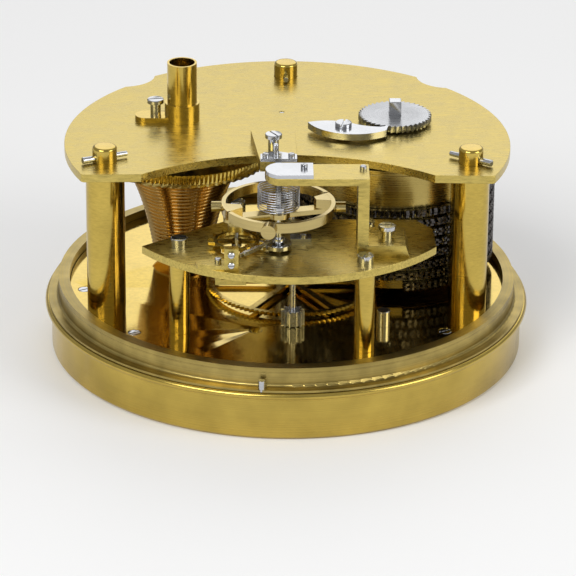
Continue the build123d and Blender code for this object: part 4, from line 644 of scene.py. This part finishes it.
class MovementLooks(bpy.types.PropertyGroup):
    """Sizes and colours of the movement's looks."""

    edge: bpy.props.FloatProperty(
        name="Edge", description="Width of the soft edge on worked metal",
        default=0.09 * MM, min=0.0, unit="LENGTH", precision=6,
    )
    fine_edge: bpy.props.FloatProperty(
        name="Fine edge", description="Width of the soft edge on small parts",
        default=0.035 * MM, min=0.0, unit="LENGTH", precision=6,
    )
    link_length: bpy.props.FloatProperty(
        name="Link length", description="Distance between two rivets of the chain",
        default=1.55 * MM, min=0.0005, unit="LENGTH", precision=6,
    )
    chain_width: bpy.props.FloatProperty(
        name="Chain width", description="Width of a chain plate across the run",
        default=1.45 * MM, min=0.0005, unit="LENGTH", precision=6,
    )
    chain_height: bpy.props.FloatProperty(
        name="Chain height", description="Height of the three layers of chain plates",
        default=1.8 * MM, min=0.0005, unit="LENGTH", precision=6,
    )
    groove_turns: bpy.props.IntProperty(
        name="Groove turns", description="Turns of the fusee's groove", default=23, min=1,
    )
    groove_depth: bpy.props.FloatProperty(
        name="Groove depth", description="Depth of the fusee's groove",
        default=0.72 * MM, min=0.0, unit="LENGTH", precision=6,
    )
    spring_wire: bpy.props.FloatProperty(
        name="Spring wire", description="Thickness of the balance spring's wire",
        default=0.3 * MM, min=0.0, unit="LENGTH", precision=6,
    )
    spring_turns: bpy.props.IntProperty(
        name="Spring turns", description="Turns of the balance spring", default=9, min=1,
    )
    plate_colour: bpy.props.FloatVectorProperty(
        name="Plate colour", description="Lacquered plate brass", subtype="COLOR",
        default=(0.66, 0.51, 0.14), min=0.0, max=1.0,
    )
    brass_colour: bpy.props.FloatVectorProperty(
        name="Brass colour", description="Polished brass", subtype="COLOR",
        default=(0.62, 0.45, 0.10), min=0.0, max=1.0,
    )
    ledge_colour: bpy.props.FloatVectorProperty(
        name="Ledge colour", description="Brass that has darkened", subtype="COLOR",
        default=(0.50, 0.38, 0.12), min=0.0, max=1.0,
    )
    fusee_colour: bpy.props.FloatVectorProperty(
        name="Fusee colour", description="Coppery brass of the fusee", subtype="COLOR",
        default=(0.64, 0.42, 0.14), min=0.0, max=1.0,
    )
    balance_colour: bpy.props.FloatVectorProperty(
        name="Balance colour", description="Brass of the balance", subtype="COLOR",
        default=(0.56, 0.44, 0.18), min=0.0, max=1.0,
    )
    steel_colour: bpy.props.FloatVectorProperty(
        name="Steel colour", description="Bright polished steel", subtype="COLOR",
        default=(0.58, 0.59, 0.61), min=0.0, max=1.0,
    )
    chain_colour: bpy.props.FloatVectorProperty(
        name="Chain colour", description="Dark oiled steel of the chain", subtype="COLOR",
        default=(0.11, 0.10, 0.095), min=0.0, max=1.0,
    )
    spring_colour: bpy.props.FloatVectorProperty(
        name="Spring colour", description="Steel of the balance spring", subtype="COLOR",
        default=(0.56, 0.57, 0.60), min=0.0, max=1.0,
    )
    blue_colour: bpy.props.FloatVectorProperty(
        name="Blue colour", description="Blued steel", subtype="COLOR",
        default=(0.04, 0.07, 0.26), min=0.0, max=1.0,
    )
    dial_colour: bpy.props.FloatVectorProperty(
        name="Dial colour", description="Silvered dial", subtype="COLOR",
        default=(0.86, 0.86, 0.83), min=0.0, max=1.0,
    )
    floor_colour: bpy.props.FloatVectorProperty(
        name="Floor colour", description="Pale studio floor", subtype="COLOR",
        default=(0.94, 0.94, 0.94), min=0.0, max=1.0,
    )


class MovementStep:
    """What the steps of the movement share."""

    bl_options = {"REGISTER", "UNDO"}

    @property
    def looks(self):
        return bpy.context.scene.movement_looks


# Steps


class MOVEMENT_OT_rings(MovementStep, bpy.types.Operator):
    """Turn the bezel and the brass edge, and set the glass"""

    bl_idname = "movement.rings"
    bl_label = "Bezel, glass and edge"

    def execute(self, context):
        dress("bezel", FINISH.get("turned"), self.looks.edge)
        dress("brass_edge", FINISH.get("ledge"), self.looks.edge)
        dress("bezel_glass", FINISH.get("glass"), self.looks.edge)
        return {"FINISHED"}


class MOVEMENT_OT_plates(MovementStep, bpy.types.Operator):
    """Brush the plates and cocks and polish the pillar plate"""

    bl_idname = "movement.plates"
    bl_label = "Plates and cocks"

    def execute(self, context):
        brushed = ("top_plate", "lower_plate", "balance_cock", "stud_bracket")
        dress_all(brushed, FINISH.get("plate"), self.looks.edge)
        dress("pillar_plate", FINISH.get("mirror_plate"), self.looks.edge)
        cocks = ("escape_cock", "escape_under_cock", "detent_bracket")
        dress_all(cocks, FINISH.get("plate"), self.looks.fine_edge)
        return {"FINISHED"}


class MOVEMENT_OT_pillars(MovementStep, bpy.types.Operator):
    """Polish the pillars and the winding tube"""

    bl_idname = "movement.pillars"
    bl_label = "Pillars and tube"

    def execute(self, context):
        turned = ("large_pillars", "small_pillars", "winding_tube")
        dress_all(turned, FINISH.get("polished"), self.looks.edge)
        return {"FINISHED"}


class MOVEMENT_OT_steel(MovementStep, bpy.types.Operator):
    """Polish the screws, pins, arbors and other steel"""

    bl_idname = "movement.steel"
    bl_label = "Steel work"

    def execute(self, context):
        small = (
            "steel_screws", "edge_screws", "frame_pins", "stop_post", "barrel_arbor", "detent",
            "balance_staff", "end_plates", "stud_clamp", "spring_stud",
            "motion_studs", "click",
        )
        dress_all(small, FINISH.get("steel"), self.looks.fine_edge)
        leaved = ("fusee_arbor", "centre_arbor", "third_arbor", "fourth_arbor", "escape_arbor")
        dress_all(leaved, FINISH.get("leaves"), self.looks.fine_edge, TOOTH_CREASE)
        dress("ratchet_wheel", FINISH.get("ratchet"), self.looks.fine_edge)
        dress("maintaining_ratchet", FINISH.get("barrel"), self.looks.fine_edge)
        dress("mainspring", FINISH.get("blue"), 0.0)
        return {"FINISHED"}


class MOVEMENT_OT_wheels(MovementStep, bpy.types.Operator):
    """Finish the train and the motion work"""

    bl_idname = "movement.wheels"
    bl_label = "Wheels"

    def execute(self, context):
        wheels = (
            "great_wheel", "centre_wheel", "third_wheel", "fourth_wheel", "escape_wheel",
            "motion_idler", "cannon_pipe", "minute_wheel", "hour_wheel", "reserve_idler",
            "reserve_wheel",
        )
        dress_all(wheels, FINISH.get("polished"), self.looks.fine_edge, TOOTH_CREASE)
        return {"FINISHED"}


class MOVEMENT_OT_barrel(MovementStep, bpy.types.Operator):
    """Finish the going barrel"""

    bl_idname = "movement.barrel"
    bl_label = "Barrel"

    def execute(self, context):
        dress_all(("barrel", "barrel_cover"), FINISH.get("barrel"), self.looks.edge)
        return {"FINISHED"}


class MOVEMENT_OT_fusee(MovementStep, bpy.types.Operator):
    """Cut the fusee's groove as one true helix"""

    bl_idname = "movement.fusee"
    bl_label = "Fusee"

    def execute(self, context):
        looks = self.looks
        bottom, top = low("fusee").z, high("fusee").z
        large = (high("fusee").x - low("fusee").x) / 2
        small = self.small_radius(bottom)
        steps = FUSEE_STEPS
        cut = top - bottom - 2 * FUSEE_RIM
        start = bottom + FUSEE_RIM
        pitch = cut / looks.groove_turns

        def radius(height):
            share = min(max((height - start) / cut, 0), 1)
            return 1 / (1 / small + (1 / large - 1 / small) * share)

        def build(work):
            rows = looks.groove_turns * GROOVE_SAMPLES
            rings = []
            for row in range(rows + 1):
                base = start + row / rows * cut
                ring = []
                for step in range(steps):
                    angle = math.tau * step / steps
                    phase = (base - start) / pitch - step / steps
                    wave = abs((phase % 1.0) * 2 - 1)
                    ends = min(1.0, row / GROOVE_SAMPLES, (rows - row) / GROOVE_SAMPLES)
                    depth = looks.groove_depth * (1 - wave**GROOVE_SHARPNESS) * ends
                    ring.append(work.verts.new(polar(FUSEE_AT, angle, radius(base) - depth, base)))
                rings.append(ring)
            for height, first in ((bottom, True), (top, False)):
                edge = radius(height)
                outer = [polar(FUSEE_AT, math.tau * s / steps, edge, height) for s in range(steps)]
                hole = [polar(FUSEE_AT, math.tau * s / steps, FUSEE_BORE, height) for s in range(steps)]
                outer = [work.verts.new(point) for point in outer]
                hole = [work.verts.new(point) for point in hole]
                if first:
                    rings = [hole, outer] + rings
                else:
                    rings = rings + [outer, hole]
            rings.append(rings[0])
            skin(work, rings)

        mesh = mesh_from("fusee_grooved", build)
        smooth(mesh, GROOVE_CREASE)
        place_mesh("fusee_grooved", mesh, NODE_BODY["fusee"], FINISH.get("fusee"), "fusee")
        return {"FINISHED"}

    def small_radius(self, bottom):
        """Radius of the fusee's small end."""
        reach = [
            (Vector(v.co) - FUSEE_AT).to_2d().length
            for v in NODES["fusee"].data.vertices
            if v.co.z < bottom + 0.01 * MM
        ]
        return max(reach)


class MOVEMENT_OT_chain(MovementStep, bpy.types.Operator):
    """Lay the chain's links on the barrel and across to the fusee"""

    bl_idname = "movement.chain"
    bl_label = "Chain"

    def execute(self, context):
        looks = self.looks
        start, end = chain_run_ends()
        chain_along("chain_run_links", [start, end], looks, "frame", "chain_run")
        bottom, top = low("chain_coils"), high("chain_coils")
        outer = (top.x - bottom.x) / 2
        leave = math.atan2(end.y - BARREL_AT.y, end.x - BARREL_AT.x)
        points = helix_points(
            BARREL_AT,
            outer - looks.chain_width / 2 - COIL_CLEARANCE,
            leave - COIL_TURNS * math.tau,
            bottom.z + COIL_END,
            top.z - COIL_END,
            COIL_TURNS,
            COIL_STEPS,
        )
        chain_along("chain_coil_links", points, looks, NODE_BODY["chain_coils"], "chain_coils")
        return {"FINISHED"}


class MOVEMENT_OT_balance(MovementStep, bpy.types.Operator):
    """Finish the balance, its jewels and its helical spring"""

    bl_idname = "movement.balance"
    bl_label = "Balance and spring"

    def execute(self, context):
        looks = self.looks
        dress_all(("balance_rim", "balance_weights"), FINISH.get("balance"), looks.fine_edge)
        dress("balance_jewels", FINISH.get("ruby"), 0.0)
        bottom, top = low("balance_spring"), high("balance_spring")
        radius = (top.x - bottom.x - looks.spring_wire) / 2
        half = looks.spring_wire / 2
        points = helix_points(
            BALANCE_AT, radius, math.pi / 2, bottom.z + half, top.z - half, looks.spring_turns, 64
        )
        path = curve_object("spring_path", points)
        path.data.bevel_depth = half * 0.9
        path.data.bevel_resolution = 2
        path.data.use_fill_caps = True
        mesh = baked(path)
        bpy.data.objects.remove(path)
        smooth(mesh, WIRE_CREASE)
        place_mesh(
            "balance_spring_coil", mesh, NODE_BODY["balance_spring"], FINISH.get("spring"),
            "balance_spring",
        )
        return {"FINISHED"}


class MOVEMENT_OT_dial(MovementStep, bpy.types.Operator):
    """Engrave the dial's chapters and finish the hands"""

    bl_idname = "movement.dial"
    bl_label = "Dial and hands"

    def execute(self, context):
        looks = self.looks
        dress("dial", FINISH.get("silver"), looks.fine_edge)
        hands = ("minute_hand", "hour_hand", "seconds_hand", "reserve_hand")
        dress_all(hands, FINISH.get("blue"), looks.fine_edge)
        face = low("dial").z
        for number, words in enumerate(NUMERALS):
            angle = math.pi / 2 + math.tau * number / len(NUMERALS)
            name = "hour_" + str(number)
            self.word(name, words, MIDDLE, angle, NUMERAL_CIRCLE, NUMERAL_SIZE, face)
        self.track("minute", MIDDLE, 60, MINUTE_RING, 5, face)
        self.track("second", SECONDS_AT, 60, SMALL_RING, 5, face)
        self.track("reserve", RESERVE_AT, 72, SMALL_RING, 6, face)
        for number in range(1, 7):
            angle = math.pi / 2 + math.tau * number / 6
            name = "second_" + str(number)
            words = str(number * 10)
            self.word(name, words, SECONDS_AT, angle, SECOND_CIRCLE, SECOND_SIZE, face)
        return {"FINISHED"}

    def word(self, name, words, centre, angle, radius, size, face):
        """Figures inlaid in the dial, read from below."""
        curve = bpy.data.curves.new(name, "FONT")
        curve.body = words
        curve.size = size
        curve.align_x = "CENTER"
        curve.align_y = "CENTER"
        curve.extrude = MARK_PROUD
        draft = linked(name, curve)
        mesh = baked(draft)
        bpy.data.objects.remove(draft)
        spot = polar(centre, angle, radius, face)
        upright = Matrix.Translation(spot) @ Matrix.Rotation(angle - math.pi / 2, 4, "Z")
        mesh.transform(upright @ Matrix.Rotation(math.pi, 4, "Y"))
        place_mesh("numeral_" + name, mesh, "frame", FINISH.get("ink"))

    def track(self, name, centre, count, ring, major, face):
        """A ring of division marks between two circles."""
        def build(work):
            for number in range(count):
                angle = math.tau * number / count
                along = Vector((math.cos(angle), math.sin(angle), 0))
                aside = Vector((-along.y, along.x, 0))
                strong = number % major == 0
                half = aside * (STRONG_MARK if strong else FINE_MARK)
                foot = ring[0] - (STRONG_MARK_REACH if strong else 0.0)
                block(work, centre, along, half, foot, ring[1], face)

        mesh = mesh_from(name + "_track", build)
        place_mesh(name + "_track", mesh, "frame", FINISH.get("ink"))


def block(work, centre, along, half, inner, outer, face):
    """A thin raised mark from one radius to another."""
    base = Vector((centre.x, centre.y, face))
    depth = Vector((0, 0, MARK_PROUD))
    corners = []
    for level in (depth, -depth):
        for reach, side in ((inner, -1), (outer, -1), (outer, 1), (inner, 1)):
            corners.append(work.verts.new(base + along * reach + half * side + level))
    work.faces.new(corners[:4])
    work.faces.new(list(reversed(corners[4:])))
    for number in range(4):
        after = (number + 1) % 4
        work.faces.new((corners[number], corners[after], corners[after + 4], corners[number + 4]))


class MOVEMENT_OT_stage(MovementStep, bpy.types.Operator):
    """Set the floor, the light and the camera"""

    bl_idname = "movement.stage"
    bl_label = "Stage"

    def execute(self, context):
        self.floor()
        self.world()
        self.lamp("key_lamp", (-0.55, -0.75, 0.85), 0.7, 8.0)
        self.lamp("fill_lamp", (0.85, -0.45, 0.5), 0.6, 4.0)
        self.lamp("back_lamp", (0.15, 0.95, 0.75), 0.9, 3.0)
        self.camera()
        scene = context.scene
        scene.view_settings.view_transform = "Standard"
        return {"FINISHED"}

    def floor(self):
        def build(work):
            half = 3.0
            corners = [(-half, -half), (half, -half), (half, half), (-half, half)]
            work.faces.new([work.verts.new((x, y, 0)) for x, y in corners])

        finish = Finish("studio_floor")
        cloud = finish.noise(finish.place, scale=3.0)
        colour = tuple(self.looks.floor_colour)
        finish.colour(cloud, tuple(part * 0.99 for part in colour), colour)
        finish.shader.inputs["Roughness"].default_value = 0.75
        floor = linked("studio_floor", mesh_from("studio_floor", build))
        floor.data.materials.append(finish.material)

    def world(self):
        world = bpy.data.worlds.new("studio")
        bpy.context.scene.world = world
        world.use_nodes = True
        nodes, links = world.node_tree.nodes, world.node_tree.links
        sky = nodes["Background"]
        sky.inputs["Color"].default_value = (1, 1, 1, 1)
        path = nodes.new("ShaderNodeLightPath")
        seen = nodes.new("ShaderNodeMath")
        seen.operation = "MAXIMUM"
        links.new(path.outputs["Is Camera Ray"], seen.inputs[0])
        links.new(path.outputs["Is Transmission Ray"], seen.inputs[1])
        strength = nodes.new("ShaderNodeMapRange")
        strength.inputs["To Min"].default_value = 0.42
        strength.inputs["To Max"].default_value = 1.0
        links.new(seen.outputs[0], strength.inputs["Value"])
        links.new(strength.outputs[0], sky.inputs["Strength"])

    def lamp(self, name, place, size, power):
        light = bpy.data.lights.new(name, "AREA")
        light.size = size
        light.energy = power
        made = linked(name, light)
        made.location = place
        aim = Vector((0, 0, 0.03)) - Vector(place)
        made.rotation_euler = aim.to_track_quat("-Z", "Y").to_euler()

    def camera(self):
        tilt, turn, roll = math.radians(23.999), math.radians(-0.767), math.radians(0.494)
        distance = 0.879839
        aside, height = 0.465 * MM, 13.319 * MM
        back = Vector((
            math.sin(turn) * math.cos(tilt), -math.cos(turn) * math.cos(tilt), math.sin(tilt)
        ))
        right = Vector((math.cos(turn), math.sin(turn), 0))
        up = back.cross(right)
        across = math.cos(roll) * right + math.sin(roll) * up
        upright = -math.sin(roll) * right + math.cos(roll) * up
        place = Vector((0, 0, height)) + right * aside + back * distance
        data = bpy.data.cameras.new("camera")
        data.lens = 220.18
        data.sensor_width = 36.0
        data.clip_start, data.clip_end = 0.01, 20.0
        camera = linked("camera", data)
        matrix = Matrix((across, upright, back)).transposed().to_4x4()
        matrix.translation = place
        camera.matrix_world = matrix
        bpy.context.scene.camera = camera


class MOVEMENT_PT_panel(bpy.types.Panel):
    """Steps and looks of the movement"""

    bl_idname = "MOVEMENT_PT_panel"
    bl_label = "Chronometer movement"
    bl_space_type = "VIEW_3D"
    bl_region_type = "UI"
    bl_category = "Movement"

    def draw(self, context):
        layout = self.layout
        for step in STEPS:
            layout.operator(step.bl_idname)
        for key in MovementLooks.__annotations__:
            layout.prop(context.scene.movement_looks, key)


STEPS = (
    MOVEMENT_OT_rings,
    MOVEMENT_OT_plates,
    MOVEMENT_OT_pillars,
    MOVEMENT_OT_steel,
    MOVEMENT_OT_wheels,
    MOVEMENT_OT_barrel,
    MOVEMENT_OT_fusee,
    MOVEMENT_OT_chain,
    MOVEMENT_OT_balance,
    MOVEMENT_OT_dial,
    MOVEMENT_OT_stage,
)


def register():
    bpy.utils.register_class(MovementLooks)
    for step in STEPS:
        bpy.utils.register_class(step)
    bpy.utils.register_class(MOVEMENT_PT_panel)
    bpy.types.Scene.movement_looks = bpy.props.PointerProperty(type=MovementLooks)


def unregister():
    del bpy.types.Scene.movement_looks
    bpy.utils.unregister_class(MOVEMENT_PT_panel)
    for step in reversed(STEPS):
        bpy.utils.unregister_class(step)
    bpy.utils.unregister_class(MovementLooks)


def main():
    """Runs every step in order."""
    register()
    bpy.ops.movement.rings()
    bpy.ops.movement.plates()
    bpy.ops.movement.pillars()
    bpy.ops.movement.steel()
    bpy.ops.movement.wheels()
    bpy.ops.movement.barrel()
    bpy.ops.movement.fusee()
    bpy.ops.movement.chain()
    bpy.ops.movement.balance()
    bpy.ops.movement.dial()
    bpy.ops.movement.stage()


if __name__ == "__main__":
    main()
